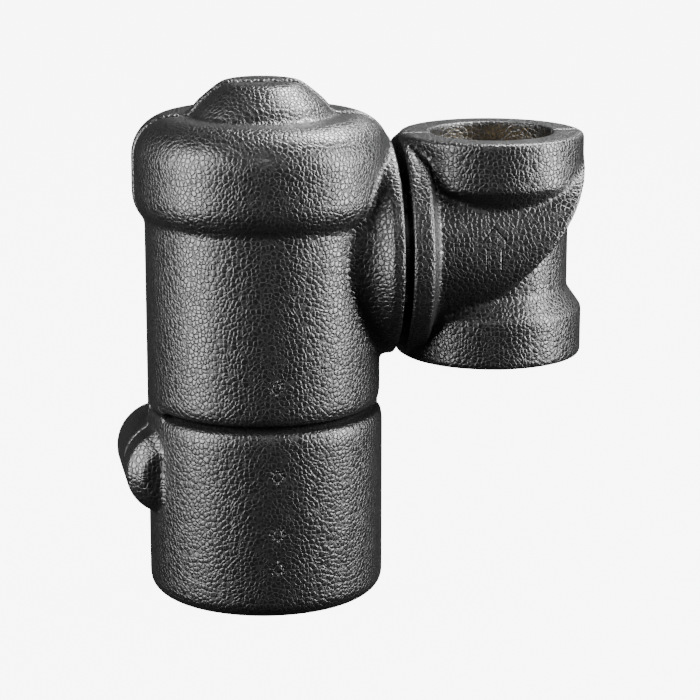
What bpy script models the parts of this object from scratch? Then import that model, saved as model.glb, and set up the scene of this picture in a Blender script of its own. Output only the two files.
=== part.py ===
"""Adjustable magnetic dirt separator for pipes, inside its moulded foam insulation shells.

Metres, +Z up.  The separator stands on its base with the pipe tee out to +X.  The shells part
on the vertical plane y = 0.  Lengths below are given in millimetres times MM.
"""
import math

import bmesh
import bpy
from mathutils import Vector

MM = 0.001
FULL_TURN = 2.0 * math.pi

# ---- clearances -----------------------------------------------------------------------------
SEAT = 0.3 * MM            # gap between pieces that touch
FIT = 0.4 * MM             # foam shell round a hard part
PARTING = 0.15 * MM        # each shell half stops this far short of the parting plane
SWIVEL_GAP = 3.0 * MM      # head of the body shell to the tee's collar

# ---- insulation round the body --------------------------------------------------------------
FOAM_WALL = 15.6 * MM           # foam between the canister and the barrel's surface
BARREL_HEIGHT = 176.4 * MM      # base to the crease under the head
FOOT_FILLET = 8.0 * MM
HEAD_OVERHANG = 5.5 * MM
HEAD_UNDERSIDE_R = 20.0 * MM
HEAD_UNDERSIDE_RISE = 13.4 * MM
HEAD_STRAIGHT = 15.8 * MM
HEAD_SHOULDER_R = 18.7 * MM
BUMP_BASE_R = 33.6 * MM
BUMP_HEIGHT = 15.1 * MM
BUMP_TOP_R = 15.5 * MM
PLUG_ROOF = 10.0 * MM           # foam over the top plug

# ---- access cover in front of the magnets ---------------------------------------------------
SPLIT_Z = 89.0 * MM
COVER_PROUD = 0.6 * MM          # the cover's radius over the barrel's
COVER_SHIFT = 0.6 * MM
GROOVE_HALF = 1.5 * MM
GROOVE_DEPTH = 6.0 * MM
LIP_DEPTH = 2.0 * MM
LIP_HEIGHT = 7.0 * MM
GROOVE_STOP_SPAN = math.radians(23.0)   # the groove ends this far before the drain boss's side
GROOVE_STOP_INSET = 0.4 * MM

# ---- neck and collars -----------------------------------------------------------------------
BRANCH_DROP = 14.4 * MM         # branch axis below the crease under the head
COLLAR_R = 50.4 * MM
NECK_COLLAR_LENGTH = 5.1 * MM
NECK_SET_BACK = 0.7 * MM         # neck collar's face behind the head's surface
NECK_HALF_DEPTH = 42.0 * MM
NECK_HALF_HEIGHT = 53.0 * MM
NECK_FLARE = ((13.0, 0.0, 0.0), (7.0, 0.12, 1.2), (3.0, 0.42, 2.2))   # back mm, share, height lost mm
TEE_COLLAR_LENGTH = 9.3 * MM
TEE_COLLAR_CHAMFER = 3.8 * MM

# ---- insulation round the tee ---------------------------------------------------------------
TEE_REACH = 44.0 * MM           # collar face to the run's axis
TEE_HALF_LENGTH = 51.8 * MM
TEE_FLANGE_R = 42.7 * MM
TEE_FLANGE_LENGTH = 22.0 * MM
TEE_FLANGE_CHAMFER = 9.6 * MM
TEE_WAIST_R = 35.9 * MM
TEE_RIM_EDGE = 1.6 * MM
TEE_MOUTH_R = 28.2 * MM
BEND_R = 41.7 * MM              # round sleeve over the branch
BEND_ROOT = 2.0 * MM            # the sleeve runs this far into the collar
BEND_REACH = 46.0 * MM          # and this far past the run's axis, where a wide sweep trims it
SWEEP_R = 114.9 * MM
SWEEP_BACK = 67.0 * MM
SWEEP_RISE = 77.3 * MM

# ---- insulation round the drain cock --------------------------------------------------------
DRAIN_REACH = 13.1 * MM         # drain cock's axis from the bowl
DRAIN_Z = 61.0 * MM
DRAIN_FRONT = 23.0 * MM
DRAIN_FACE_R = 12.5 * MM
DRAIN_CHAMFER = 6.5 * MM
DRAIN_BOSS_FRONT_R = 20.0 * MM
DRAIN_BOSS_REAR_R = 21.5 * MM
DRAIN_REAR = 37.0 * MM
DRAIN_REAR_EDGE = 2.0 * MM
DRAIN_END_WALL = 7.5 * MM
DRAIN_REAR_WALL = 6.0 * MM

# ---- canister and its lid -------------------------------------------------------------------
BASE_WALL = 14.6 * MM           # foam under the canister
CANISTER_R = 38.0 * MM
CANISTER_WALL = 3.5 * MM
BOWL_STEP = 5.5 * MM            # the bowl is this much smaller in radius than the canister
SPIGOT_R = 24.0 * MM
SPIGOT_SET_BACK = 0.8 * MM
LID_WALL = 4.2 * MM
LID_LUG = 1.8 * MM
LID_LUGS = 12
LID_SKIRT = 11.0 * MM
LID_PLATE = 9.0 * MM
LID_DROP = 17.1 * MM            # foam over the lid
PLUG_R = 10.2 * MM
PLUG_HEX_R = 13.5 * MM
PLUG_HEX_HEIGHT = 9.0 * MM
PLUG_FLANGE_R = 15.2 * MM
PLUG_FLANGE = 2.5 * MM
SEAL_THICK = 1.4 * MM

# ---- strainer -------------------------------------------------------------------------------
STRAINER_R = 24.0 * MM
STRAINER_WALL = 1.2 * MM
STRAINER_HEIGHT = 40.0 * MM
STRAINER_COLUMNS = 20
STRAINER_ROWS = 7
SUPPORT_THICK = 3.4 * MM
SUPPORT_ARMS = 4
SUPPORT_ARM_WIDTH = 4.0 * MM
SUPPORT_RIM = 4.0 * MM

# ---- magnet belt ----------------------------------------------------------------------------
BELT_Z = 26.0 * MM
BELT_HEIGHT = 24.0 * MM
BELT_THICK = 4.6 * MM
BELT_SPAN = math.radians(164.0)
MAGNETS = 4
MAGNET_SPAN = math.radians(24.0)
MAGNET_PITCH = math.radians(38.0)
MAGNET_HEIGHT = 16.0 * MM
MAGNET_THICK = 2.6 * MM

# ---- tee fitting and lock nut ---------------------------------------------------------------
RUN_R = 21.0 * MM
RUN_HALF_LENGTH = 40.0 * MM
RUN_BORE_R = 13.0 * MM
PORT_R = 15.15 * MM             # 1 inch female pipe thread, minor diameter
PORT_DEPTH = 17.0 * MM
PORT_HEX_R = 26.5 * MM
PORT_HEX_LENGTH = 16.0 * MM
BRANCH_R = 19.0 * MM
BRANCH_BORE_R = 14.0 * MM
BRANCH_SEAL_SETBACK = 2.5 * MM
BRANCH_SEAL_WIDTH = 3.0 * MM
HEX_ROOM = 1.5 * MM
RUN_EDGE = 2.0 * MM
SOCKET_DEPTH = 8.0 * MM
RING_GROOVE_DEPTH = 1.7 * MM
SPLIT_RING_R = 25.2 * MM
SPLIT_RING_THICK = 3.0 * MM
SPLIT_RING_MOUTH = math.radians(30.0)
NUT_R = 31.5 * MM
NUT_LUG_R = 35.0 * MM
NUT_LUGS = 8
NUT_GRIP = 12.5 * MM            # length of the nut over the canister's spigot
NUT_LIP = 4.4 * MM
NUT_CLEARANCE = 1.5 * MM        # foam round the turning lock nut
DIVIDER_THICK = 2.0 * MM

# ---- drain cock -----------------------------------------------------------------------------
COCK_R = 9.5 * MM
COCK_FRONT = 9.0 * MM
COCK_SHOULDER = 22.0 * MM
COCK_TAIL_R = 8.8 * MM
COCK_TAIL_END = 32.0 * MM
COCK_CHAMBER_R = 6.0 * MM
COCK_SEAT_Y = 10.1 * MM
COCK_SEAT_THICK = 2.4 * MM
COCK_SEAT_R = 3.5 * MM
COCK_OUTLET_R = 5.2 * MM
COCK_INLET_R = 6.5 * MM
COCK_INLET_BORE_R = 4.5 * MM
COCK_PORT_WALL = 1.7 * MM
DRAIN_PORT_LENGTH = 1.0 * MM    # the canister's drain port stands this far off the bowl
STEM_R = 2.6 * MM
PLUNGER_R = 5.5 * MM
PLUNGER_HEIGHT = 4.0 * MM
PLUNGER_LIFT = 2.0 * MM
KNOB_R = 12.0 * MM
KNOB_LOBES = 8
KNOB_SKIRT = 0.5 * MM
KNOB_FACE = 1.2 * MM
CAP_R = 11.8 * MM
CAP_SKIRT = 8.0 * MM
CAP_END = 2.4 * MM
DRAIN_ROOM = 2.4 * MM           # foam round the turning knob
DRAIN_CAP_ROOM = 0.6 * MM

# ---- facets ---------------------------------------------------------------------------------
BIG_STEPS = 40
MID_STEPS = 32
SMALL_STEPS = 20
SWEEP_STEPS = 72

# ---- sizes that follow ----------------------------------------------------------------------
BARREL_R = CANISTER_R + FIT + FOAM_WALL
COVER_R = BARREL_R + COVER_PROUD
HEAD_R = BARREL_R + HEAD_OVERHANG
HEAD_Z = BARREL_HEIGHT + HEAD_UNDERSIDE_RISE
SHOULDER_Z = HEAD_Z + HEAD_STRAIGHT + HEAD_SHOULDER_R
TOP_Z = SHOULDER_Z + BUMP_HEIGHT
BRANCH_Z = BARREL_HEIGHT - BRANCH_DROP
NECK_FACE_X = HEAD_R - NECK_SET_BACK
TEE_FACE_X = HEAD_R + SWIVEL_GAP
TEE_X = TEE_FACE_X + TEE_REACH
BOWL_R = CANISTER_R - BOWL_STEP
DRAIN_X = -(BOWL_R + DRAIN_REACH)
CENTRE_X = (TEE_X + TEE_FLANGE_R + DRAIN_X - DRAIN_BOSS_REAR_R) / 2.0

CAVITY_R = CANISTER_R + FIT
LID_R = CANISTER_R + LID_WALL
LID_LUG_R = LID_R + LID_LUG
HEAD_CAVITY_R = LID_LUG_R + FIT
LID_TOP = SHOULDER_Z - LID_DROP
LID_BOTTOM = LID_TOP - LID_PLATE - LID_SKIRT
CANISTER_BOTTOM = BASE_WALL + SEAT
CANISTER_TOP = LID_TOP - LID_PLATE - 2.0 * SEAT - SEAL_THICK
BOWL_TOP = SPLIT_Z - 4.0 * MM
STEP_TOP = BOWL_TOP + BOWL_STEP
SPIGOT_END = NECK_FACE_X - SPIGOT_SET_BACK
NUT_BORE_R = SPIGOT_R + SEAT
NUT_CAVITY_R = NUT_LUG_R + NUT_CLEARANCE
RING_X = SPIGOT_END + 3.0 * MM
NUT_LIP_X = RING_X + SPLIT_RING_THICK + SEAT
NUT_END_X = NUT_LIP_X + NUT_LIP
BRANCH_END_X = SPIGOT_END - SOCKET_DEPTH + SEAT
TEE_CAVITY_R = RUN_R + FIT
KNOB_FRONT = DRAIN_FRONT - DRAIN_END_WALL - FIT
DRAIN_CAVITY_R = KNOB_R + DRAIN_ROOM
CAP_MOUTH_R = CAP_R + DRAIN_CAP_ROOM
DRAIN_PORT_R = COCK_INLET_R + COCK_PORT_WALL

AXIS_X = (0.0, math.pi / 2.0, 0.0)
AXIS_Y = (-math.pi / 2.0, 0.0, 0.0)
AXIS_Z = (0.0, 0.0, 0.0)


def clear_scene():
    for item in list(bpy.data.objects):
        bpy.data.objects.remove(item, do_unlink=True)


def finish_material(name, colour, roughness, metallic=0.0):
    """One Principled material for each sub-part."""
    material = bpy.data.materials.new(name)
    material.use_nodes = True
    shader = material.node_tree.nodes["Principled BSDF"]
    shader.inputs["Base Color"].default_value = (*colour, 1.0)
    shader.inputs["Roughness"].default_value = roughness
    shader.inputs["Metallic"].default_value = metallic
    return material


FOAM = ((0.018, 0.018, 0.019), 0.42, 0.0)
POLYMER = ((0.03, 0.03, 0.032), 0.5, 0.0)
BRASS = ((0.72, 0.55, 0.27), 0.3, 1.0)
RUBBER = ((0.012, 0.012, 0.012), 0.7, 0.0)
STEEL = ((0.55, 0.56, 0.58), 0.35, 1.0)
MAGNET = ((0.62, 0.62, 0.64), 0.25, 1.0)
MESH = ((0.42, 0.43, 0.42), 0.55, 0.0)
RED = ((0.42, 0.02, 0.02), 0.45, 0.0)


def place(name, bm, parent, location, rotation=AXIS_Z, look=None):
    """Turn a bmesh into an object; without a look it is a guide that only cuts or joins."""
    bmesh.ops.recalc_face_normals(bm, faces=bm.faces)
    mesh = bpy.data.meshes.new(name)
    bm.to_mesh(mesh)
    bm.free()
    mesh.shade_smooth()
    mesh.set_sharp_from_angle(angle=math.radians(35.0))
    thing = bpy.data.objects.new(name, mesh)
    bpy.context.scene.collection.objects.link(thing)
    thing.parent = parent
    thing.location = location
    thing.rotation_euler = rotation
    if look is None:
        thing.hide_render = True
        thing.display_type = "WIRE"
    else:
        mesh.materials.append(finish_material(name, *look))
    return thing


def empty(name, location, parent=None):
    frame = bpy.data.objects.new(name, None)
    bpy.context.scene.collection.objects.link(frame)
    frame.location = location
    frame.parent = parent
    return frame


def modify(thing, operation, *guides):
    for guide in guides:
        step = thing.modifiers.new(f"{operation.lower()}_{guide.name}", "BOOLEAN")
        step.operation = operation
        step.solver = "EXACT"
        step.object = guide


def cut(thing, *guides):
    modify(thing, "DIFFERENCE", *guides)


def fuse(thing, *guides):
    modify(thing, "UNION", *guides)


def arc(centre_r, centre_z, radius, start_deg, end_deg, steps):
    """Points of a circular arc in a turned profile."""
    points = []
    for index in range(steps + 1):
        angle = math.radians(start_deg + (end_deg - start_deg) * index / steps)
        points.append((centre_r + radius * math.cos(angle), centre_z + radius * math.sin(angle)))
    return points


def turned(profile, steps, closed=True):
    """Spin a profile of (radius, height) points about Z.  A closed one makes a ring."""
    bm = bmesh.new()
    verts = [bm.verts.new((radius, 0.0, height)) for radius, height in profile]
    edges = [bm.edges.new(pair) for pair in zip(verts, verts[1:])]
    if closed:
        edges.append(bm.edges.new((verts[-1], verts[0])))
    bmesh.ops.spin(bm, geom=verts + edges, cent=(0, 0, 0), axis=(0, 0, 1), angle=FULL_TURN,
                   steps=steps, use_merge=True, use_duplicate=False)
    bmesh.ops.remove_doubles(bm, verts=bm.verts, dist=1e-7)
    return bm


def solid_turned(profile, steps):
    """Spin an outline that starts and ends on the axis."""
    return turned(profile, steps, closed=False)


def rod(radius, low, high, steps=SMALL_STEPS, edge=0.0):
    """Plain round bar from low to high along Z, with chamfered ends if edge is given."""
    if edge:
        outline = [(0, low), (radius - edge, low), (radius, low + edge),
                   (radius, high - edge), (radius - edge, high), (0, high)]
    else:
        outline = [(0, low), (radius, low), (radius, high), (0, high)]
    return solid_turned(outline, steps)


def tube(inner, outer, low, high, steps=MID_STEPS):
    return turned([(inner, low), (outer, low), (outer, high), (inner, high)], steps)


def prism(outline, low, high):
    """Extrude a flat outline of (x, y) points from low to high along Z."""
    bm = bmesh.new()
    base = bm.faces.new([bm.verts.new((x, y, low)) for x, y in outline])
    grown = bmesh.ops.extrude_face_region(bm, geom=[base])
    moved = [item for item in grown["geom"] if isinstance(item, bmesh.types.BMVert)]
    bmesh.ops.translate(bm, verts=moved, vec=(0, 0, high - low))
    return bm


def polygon(radius, sides, start=0.0):
    angles = [start + FULL_TURN * index / sides for index in range(sides)]
    return [(radius * math.cos(angle), radius * math.sin(angle)) for angle in angles]


def lugged(inner, outer, lugs):
    """Outline of a round part with lugs: four corners to each lug."""
    outline = []
    pitch = FULL_TURN / lugs
    for index in range(lugs):
        middle = pitch * index
        for share, radius in ((-0.27, inner), (-0.17, outer), (0.17, outer), (0.27, inner)):
            angle = middle + share * pitch
            outline.append((radius * math.cos(angle), radius * math.sin(angle)))
    return outline


def sector(inner, outer, low, high, middle, span, steps):
    """Block bent round the Z axis."""
    outline = []
    for radius, order in ((outer, 1), (inner, -1)):
        marks = range(steps + 1) if order > 0 else range(steps, -1, -1)
        for mark in marks:
            angle = middle + span * (mark / steps - 0.5)
            outline.append((radius * math.cos(angle), radius * math.sin(angle)))
    return prism(outline, low, high)


def block(low, high):
    """Box between two corners."""
    bm = bmesh.new()
    bmesh.ops.create_cube(bm, size=1.0)
    size = Vector(high) - Vector(low)
    bmesh.ops.scale(bm, vec=size, verts=bm.verts)
    bmesh.ops.translate(bm, vec=(Vector(high) + Vector(low)) / 2.0, verts=bm.verts)
    return bm


# =============================================================================================
clear_scene()
separator = empty("separator_frame", (-CENTRE_X, 0.0, 0.0))
tee = empty("tee_frame", (TEE_X, 0.0, BRANCH_Z), separator)
BRANCH = (0.0, 0.0, BRANCH_Z)
DRAIN = (DRAIN_X, 0.0, DRAIN_Z)

# ---- guides shared by the shells -------------------------------------------------------------
HALF_SPACE = 0.5
front_space = place("front_space_guide", block((-HALF_SPACE, -HALF_SPACE, -HALF_SPACE),
                    (HALF_SPACE, PARTING, HALF_SPACE)), separator, (0, 0, 0))
rear_space = place("rear_space_guide", block((-HALF_SPACE, -PARTING, -HALF_SPACE),
                   (HALF_SPACE, HALF_SPACE, HALF_SPACE)), separator, (0, 0, 0))


def head_outline():
    """Outer outline from the crease under the head to the middle of the top bump."""
    underside = arc(HEAD_R - HEAD_UNDERSIDE_R, HEAD_Z, HEAD_UNDERSIDE_R, -42.0, 0.0, 4)
    shoulder = arc(HEAD_R - HEAD_SHOULDER_R, HEAD_Z + HEAD_STRAIGHT, HEAD_SHOULDER_R, 0.0, 90.0, 6)
    bump = []
    rise = (0.0, 0.16, 0.38, 0.62, 0.86, 1.0)
    run = (0.0, 0.09, 0.24, 0.47, 0.72, 1.0)
    for up, inward in zip(rise, run):
        bump.append((BUMP_BASE_R + (BUMP_TOP_R - BUMP_BASE_R) * inward, SHOULDER_Z + BUMP_HEIGHT * up))
    return [(BARREL_R, BARREL_HEIGHT)] + underside + shoulder + bump + [(0.0, TOP_Z)]


def neck_bmesh():
    """Foam neck from the barrel to its round collar: oval at the barrel, flared to the collar."""
    collar_start = NECK_FACE_X - NECK_COLLAR_LENGTH
    flare = COLLAR_R - NECK_HALF_DEPTH
    stations = [(0.0, NECK_HALF_DEPTH, NECK_HALF_HEIGHT)]
    for back, share, lost in NECK_FLARE:
        stations.append((collar_start - back * MM, NECK_HALF_DEPTH + share * flare,
                         NECK_HALF_HEIGHT - lost * MM))
    stations += [(collar_start, COLLAR_R, COLLAR_R), (NECK_FACE_X, COLLAR_R, COLLAR_R)]
    bm = bmesh.new()
    rings = []
    for along, half_depth, half_height in stations:
        ring = []
        for index in range(BIG_STEPS):
            angle = FULL_TURN * index / BIG_STEPS
            ring.append(bm.verts.new((along, half_depth * math.sin(angle), half_height * math.cos(angle))))
        rings.append([bm.edges.new((ring[index - 1], ring[index])) for index in range(BIG_STEPS)])
    for near, far in zip(rings, rings[1:]):
        bmesh.ops.bridge_loops(bm, edges=near + far)
    bmesh.ops.contextual_create(bm, geom=rings[0])
    bmesh.ops.contextual_create(bm, geom=rings[-1])
    return bm


def drain_boss_bmesh():
    """Foam boss over the drain cock, along Y."""
    return solid_turned([(0.0, -DRAIN_FRONT), (DRAIN_FACE_R, -DRAIN_FRONT),
                         (DRAIN_BOSS_FRONT_R, -DRAIN_FRONT + DRAIN_CHAMFER),
                         (DRAIN_BOSS_REAR_R, DRAIN_REAR - DRAIN_REAR_EDGE),
                         (DRAIN_BOSS_REAR_R - DRAIN_REAR_EDGE, DRAIN_REAR), (0.0, DRAIN_REAR)], MID_STEPS)


neck = place("neck_guide", neck_bmesh(), separator, BRANCH)
drain_boss = place("drain_boss_guide", drain_boss_bmesh(), separator, DRAIN, AXIS_Y)
plug_cavity_r = PLUG_FLANGE_R + FIT
cavity = place("cavity_guide", solid_turned([
    (0.0, BASE_WALL), (CAVITY_R, BASE_WALL), (CAVITY_R, LID_BOTTOM - FIT),
    (HEAD_CAVITY_R, LID_BOTTOM - FIT), (HEAD_CAVITY_R, LID_TOP + FIT), (plug_cavity_r, LID_TOP + FIT),
    (plug_cavity_r, TOP_Z - PLUG_ROOF), (0.0, TOP_Z - PLUG_ROOF)], BIG_STEPS), separator, (0, 0, 0))
neck_cavity = place("neck_cavity_guide", rod(NUT_CAVITY_R, CAVITY_R - 10.0 * MM, NECK_FACE_X + 10.0 * MM,
                    MID_STEPS), separator, BRANCH, AXIS_X)
drain_cavity = place("drain_cavity_guide", solid_turned([
    (0.0, -DRAIN_FRONT + DRAIN_END_WALL), (DRAIN_CAVITY_R, -DRAIN_FRONT + DRAIN_END_WALL),
    (DRAIN_CAVITY_R, DRAIN_REAR - DRAIN_REAR_WALL), (CAP_MOUTH_R, DRAIN_REAR - DRAIN_REAR_WALL),
    (CAP_MOUTH_R, DRAIN_REAR + 10.0 * MM), (0.0, DRAIN_REAR + 10.0 * MM)], MID_STEPS),
    separator, DRAIN, AXIS_Y)

drain_inlet_room = place("drain_inlet_room_guide", rod(DRAIN_PORT_R + FIT, BOWL_R, -DRAIN_X), separator,
                         (0.0, 0.0, DRAIN_Z), (0.0, -math.pi / 2.0, 0.0))


def groove_stop(name, low, high):
    """Ridge that closes the groove beside the drain boss, in front of the parting plane."""
    middle = math.pi + GROOVE_STOP_SPAN / 2.0
    inner = BARREL_R - GROOVE_DEPTH - 1.0 * MM
    return place(name, sector(inner, BARREL_R - GROOVE_STOP_INSET, low, high, middle, GROOVE_STOP_SPAN, 4),
                 separator, (0, 0, 0))


# ---- rear shell: the full height of the back ---------------------------------------------------
foot = [(0.0, 0.0)] + arc(BARREL_R - FOOT_FILLET, FOOT_FILLET, FOOT_FILLET, -90.0, 0.0, 4)
rear_shell = place("rear_shell", solid_turned(foot + head_outline(), BIG_STEPS), separator, (0, 0, 0),
                   look=FOAM)
fuse(rear_shell, neck, drain_boss)
cut(rear_shell, cavity, neck_cavity, drain_cavity, drain_inlet_room, front_space)

# ---- front shell: above the groove ---------------------------------------------------------------
lip = [(0.0, SPLIT_Z + PARTING), (BARREL_R - GROOVE_DEPTH, SPLIT_Z + PARTING),
       (BARREL_R - GROOVE_DEPTH, SPLIT_Z + GROOVE_HALF), (BARREL_R - LIP_DEPTH, SPLIT_Z + GROOVE_HALF),
       (BARREL_R - 0.45 * LIP_DEPTH, SPLIT_Z + GROOVE_HALF + 0.22 * LIP_HEIGHT),
       (BARREL_R - 0.12 * LIP_DEPTH, SPLIT_Z + GROOVE_HALF + 0.55 * LIP_HEIGHT),
       (BARREL_R, SPLIT_Z + GROOVE_HALF + LIP_HEIGHT)]
front_shell = place("front_shell", solid_turned(lip + head_outline(), BIG_STEPS), separator, (0, 0, 0),
                    look=FOAM)
upper_stop = groove_stop("upper_groove_stop_guide", SPLIT_Z + PARTING, SPLIT_Z + GROOVE_HALF + LIP_HEIGHT)
fuse(front_shell, neck, upper_stop)
cut(front_shell, cavity, neck_cavity, rear_space)

# ---- lower front cover: lifts off to reach the magnets -------------------------------------------
cover_foot = [(0.0, 0.0)] + arc(COVER_R - FOOT_FILLET, FOOT_FILLET, FOOT_FILLET, -90.0, 0.0, 4)
cover_lip = [(COVER_R, SPLIT_Z - GROOVE_HALF - LIP_HEIGHT),
             (COVER_R - 0.12 * LIP_DEPTH, SPLIT_Z - GROOVE_HALF - 0.55 * LIP_HEIGHT),
             (COVER_R - 0.45 * LIP_DEPTH, SPLIT_Z - GROOVE_HALF - 0.22 * LIP_HEIGHT),
             (COVER_R - LIP_DEPTH, SPLIT_Z - GROOVE_HALF), (COVER_R - GROOVE_DEPTH, SPLIT_Z - GROOVE_HALF),
             (COVER_R - GROOVE_DEPTH, SPLIT_Z - PARTING), (0.0, SPLIT_Z - PARTING)]
lower_cover = place("lower_front_cover", solid_turned(cover_foot + cover_lip, BIG_STEPS), separator,
                    (COVER_SHIFT, 0, 0), look=FOAM)
lower_stop = groove_stop("lower_groove_stop_guide", SPLIT_Z - GROOVE_HALF - LIP_HEIGHT, SPLIT_Z - PARTING)
fuse(lower_cover, drain_boss, lower_stop)
cut(lower_cover, cavity, drain_cavity, drain_inlet_room, rear_space)


# ---- tee shells, front and rear ------------------------------------------------------------------
def tee_outline():
    half = [(0.0, TEE_HALF_LENGTH), (TEE_FLANGE_R - TEE_RIM_EDGE, TEE_HALF_LENGTH),
            (TEE_FLANGE_R, TEE_HALF_LENGTH - TEE_RIM_EDGE),
            (TEE_FLANGE_R, TEE_HALF_LENGTH - TEE_FLANGE_LENGTH),
            (TEE_WAIST_R, TEE_HALF_LENGTH - TEE_FLANGE_LENGTH - TEE_FLANGE_CHAMFER)]
    lower = [(radius, -height) for radius, height in half]
    return lower + half[::-1]


branch_sleeve = place("branch_sleeve_guide", rod(BEND_R, -TEE_REACH + BEND_ROOT, BEND_REACH, BIG_STEPS), tee,
                      (0, 0, 0), AXIS_X)
sleeve_sweep = place("sleeve_sweep_guide", rod(SWEEP_R, -2.0 * BEND_R, 2.0 * BEND_R, SWEEP_STEPS), tee,
                     (-SWEEP_BACK, 0.0, SWEEP_RISE), AXIS_Y)
modify(branch_sleeve, "INTERSECT", sleeve_sweep)
collar_end = -TEE_REACH + TEE_COLLAR_LENGTH
tee_collar = place("tee_collar_guide", solid_turned([
    (0.0, -TEE_REACH), (COLLAR_R, -TEE_REACH), (COLLAR_R, collar_end),
    (BEND_R - 1.0 * MM, collar_end + TEE_COLLAR_CHAMFER), (0.0, collar_end + TEE_COLLAR_CHAMFER)],
    BIG_STEPS), tee, (0, 0, 0), AXIS_X)
hex_room = RUN_HALF_LENGTH - PORT_HEX_LENGTH - HEX_ROOM
tee_cavity = place("tee_cavity_guide", solid_turned([
    (0.0, -TEE_HALF_LENGTH - 10.0 * MM), (TEE_MOUTH_R, -TEE_HALF_LENGTH - 10.0 * MM),
    (TEE_MOUTH_R, -hex_room), (TEE_CAVITY_R, -hex_room), (TEE_CAVITY_R, hex_room),
    (TEE_MOUTH_R, hex_room), (TEE_MOUTH_R, TEE_HALF_LENGTH + 10.0 * MM),
    (0.0, TEE_HALF_LENGTH + 10.0 * MM)], MID_STEPS), tee, (0, 0, 0))
nut_room = NUT_END_X - TEE_X + NUT_CLEARANCE
tee_branch_cavity = place("tee_branch_cavity_guide", solid_turned([
    (0.0, -TEE_REACH - 10.0 * MM), (NUT_CAVITY_R, -TEE_REACH - 10.0 * MM), (NUT_CAVITY_R, nut_room),
    (BRANCH_R + FIT, nut_room), (BRANCH_R + FIT, 0.0), (0.0, 0.0)], MID_STEPS), tee, (0, 0, 0), AXIS_X)
for side, keep_out in (("front", rear_space), ("rear", front_space)):
    half_shell = place(f"tee_shell_{side}", solid_turned(tee_outline(), BIG_STEPS), tee, (0, 0, 0), look=FOAM)
    fuse(half_shell, branch_sleeve, tee_collar)
    cut(half_shell, tee_cavity, tee_branch_cavity, keep_out)

# ---- canister with its bowl, side spigot and drain port -------------------------------------------
wall = CANISTER_WALL
canister = place("canister", turned([
    (0.0, CANISTER_BOTTOM), (BOWL_R - 4.0 * MM, CANISTER_BOTTOM), (BOWL_R, CANISTER_BOTTOM + 4.0 * MM),
    (BOWL_R, BOWL_TOP), (CANISTER_R, STEP_TOP), (CANISTER_R, CANISTER_TOP),
    (CANISTER_R - wall, CANISTER_TOP), (CANISTER_R - wall, STEP_TOP + 2.0 * MM),
    (BOWL_R - wall, BOWL_TOP + 2.0 * MM), (BOWL_R - wall, CANISTER_BOTTOM + 6.0 * MM),
    (BOWL_R - wall - 4.0 * MM, CANISTER_BOTTOM + wall), (0.0, CANISTER_BOTTOM + wall)], MID_STEPS,
    closed=False), separator, (0, 0, 0), (0, 0, math.pi / MID_STEPS), look=POLYMER)
spigot = place("spigot_guide", rod(SPIGOT_R, CANISTER_R - wall - 1.0 * MM, SPIGOT_END, MID_STEPS, 0.8 * MM),
               separator, BRANCH, AXIS_X)
spigot_bore = place("spigot_bore_guide", solid_turned([
    (0.0, 0.0), (BRANCH_BORE_R, 0.0), (BRANCH_BORE_R, SPIGOT_END - SOCKET_DEPTH),
    (BRANCH_R + FIT, SPIGOT_END - SOCKET_DEPTH), (BRANCH_R + FIT, SPIGOT_END + 5.0 * MM),
    (0.0, SPIGOT_END + 5.0 * MM)], MID_STEPS), separator, BRANCH, AXIS_X)
port_end = BOWL_R + DRAIN_PORT_LENGTH
drain_port = place("drain_port_guide", rod(DRAIN_PORT_R, -port_end, -(BOWL_R - wall / 2.0)),
                   separator, (0.0, 0.0, DRAIN_Z), AXIS_X)
drain_port_bore = place("drain_port_bore_guide", rod(COCK_INLET_R + SEAT, -port_end - 5.0 * MM,
                        -(BOWL_R - wall - 8.0 * MM)), separator, (0.0, 0.0, DRAIN_Z), AXIS_X)
fuse(canister, spigot, drain_port)
cut(canister, spigot_bore, drain_port_bore)

# ---- lid, its seal, top plug and plug seal ---------------------------------------------------------
lid = place("lid", prism(lugged(LID_R, LID_LUG_R, LID_LUGS), LID_BOTTOM, LID_TOP), separator, (0, 0, 0),
            look=POLYMER)
lid_bore = place("lid_bore_guide", solid_turned([
    (0.0, LID_BOTTOM - 5.0 * MM), (CANISTER_R + SEAT, LID_BOTTOM - 5.0 * MM),
    (CANISTER_R + SEAT, LID_TOP - LID_PLATE), (PLUG_R + SEAT, LID_TOP - LID_PLATE),
    (PLUG_R + SEAT, LID_TOP + 5.0 * MM), (0.0, LID_TOP + 5.0 * MM)], MID_STEPS), separator, (0, 0, 0))
cut(lid, lid_bore)
place("lid_seal", tube(CANISTER_R - wall + SEAT, CANISTER_R - SEAT, CANISTER_TOP + SEAT,
      CANISTER_TOP + SEAT + SEAL_THICK), separator, (0, 0, 0), look=RUBBER)
plug_seal_top = LID_TOP + SEAT + SEAL_THICK
place("top_plug_seal", tube(PLUG_R + SEAT, PLUG_FLANGE_R - 1.0 * MM, LID_TOP + SEAT, plug_seal_top,
      SMALL_STEPS), separator, (0, 0, 0), look=RUBBER)
top_plug = place("top_plug", solid_turned([
    (0.0, LID_TOP - LID_PLATE + 0.5 * MM), (PLUG_R, LID_TOP - LID_PLATE + 0.5 * MM),
    (PLUG_R, plug_seal_top + SEAT), (PLUG_FLANGE_R, plug_seal_top + SEAT),
    (PLUG_FLANGE_R, plug_seal_top + SEAT + PLUG_FLANGE), (0.0, plug_seal_top + SEAT + PLUG_FLANGE)],
    SMALL_STEPS), separator, (0, 0, 0), look=BRASS)
hex_base = plug_seal_top + SEAT + PLUG_FLANGE - 1.0 * MM
plug_hex = place("plug_hex_guide", prism(polygon(PLUG_HEX_R, 6), hex_base, hex_base + PLUG_HEX_HEIGHT),
                 separator, (0, 0, 0))
fuse(top_plug, plug_hex)


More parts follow.
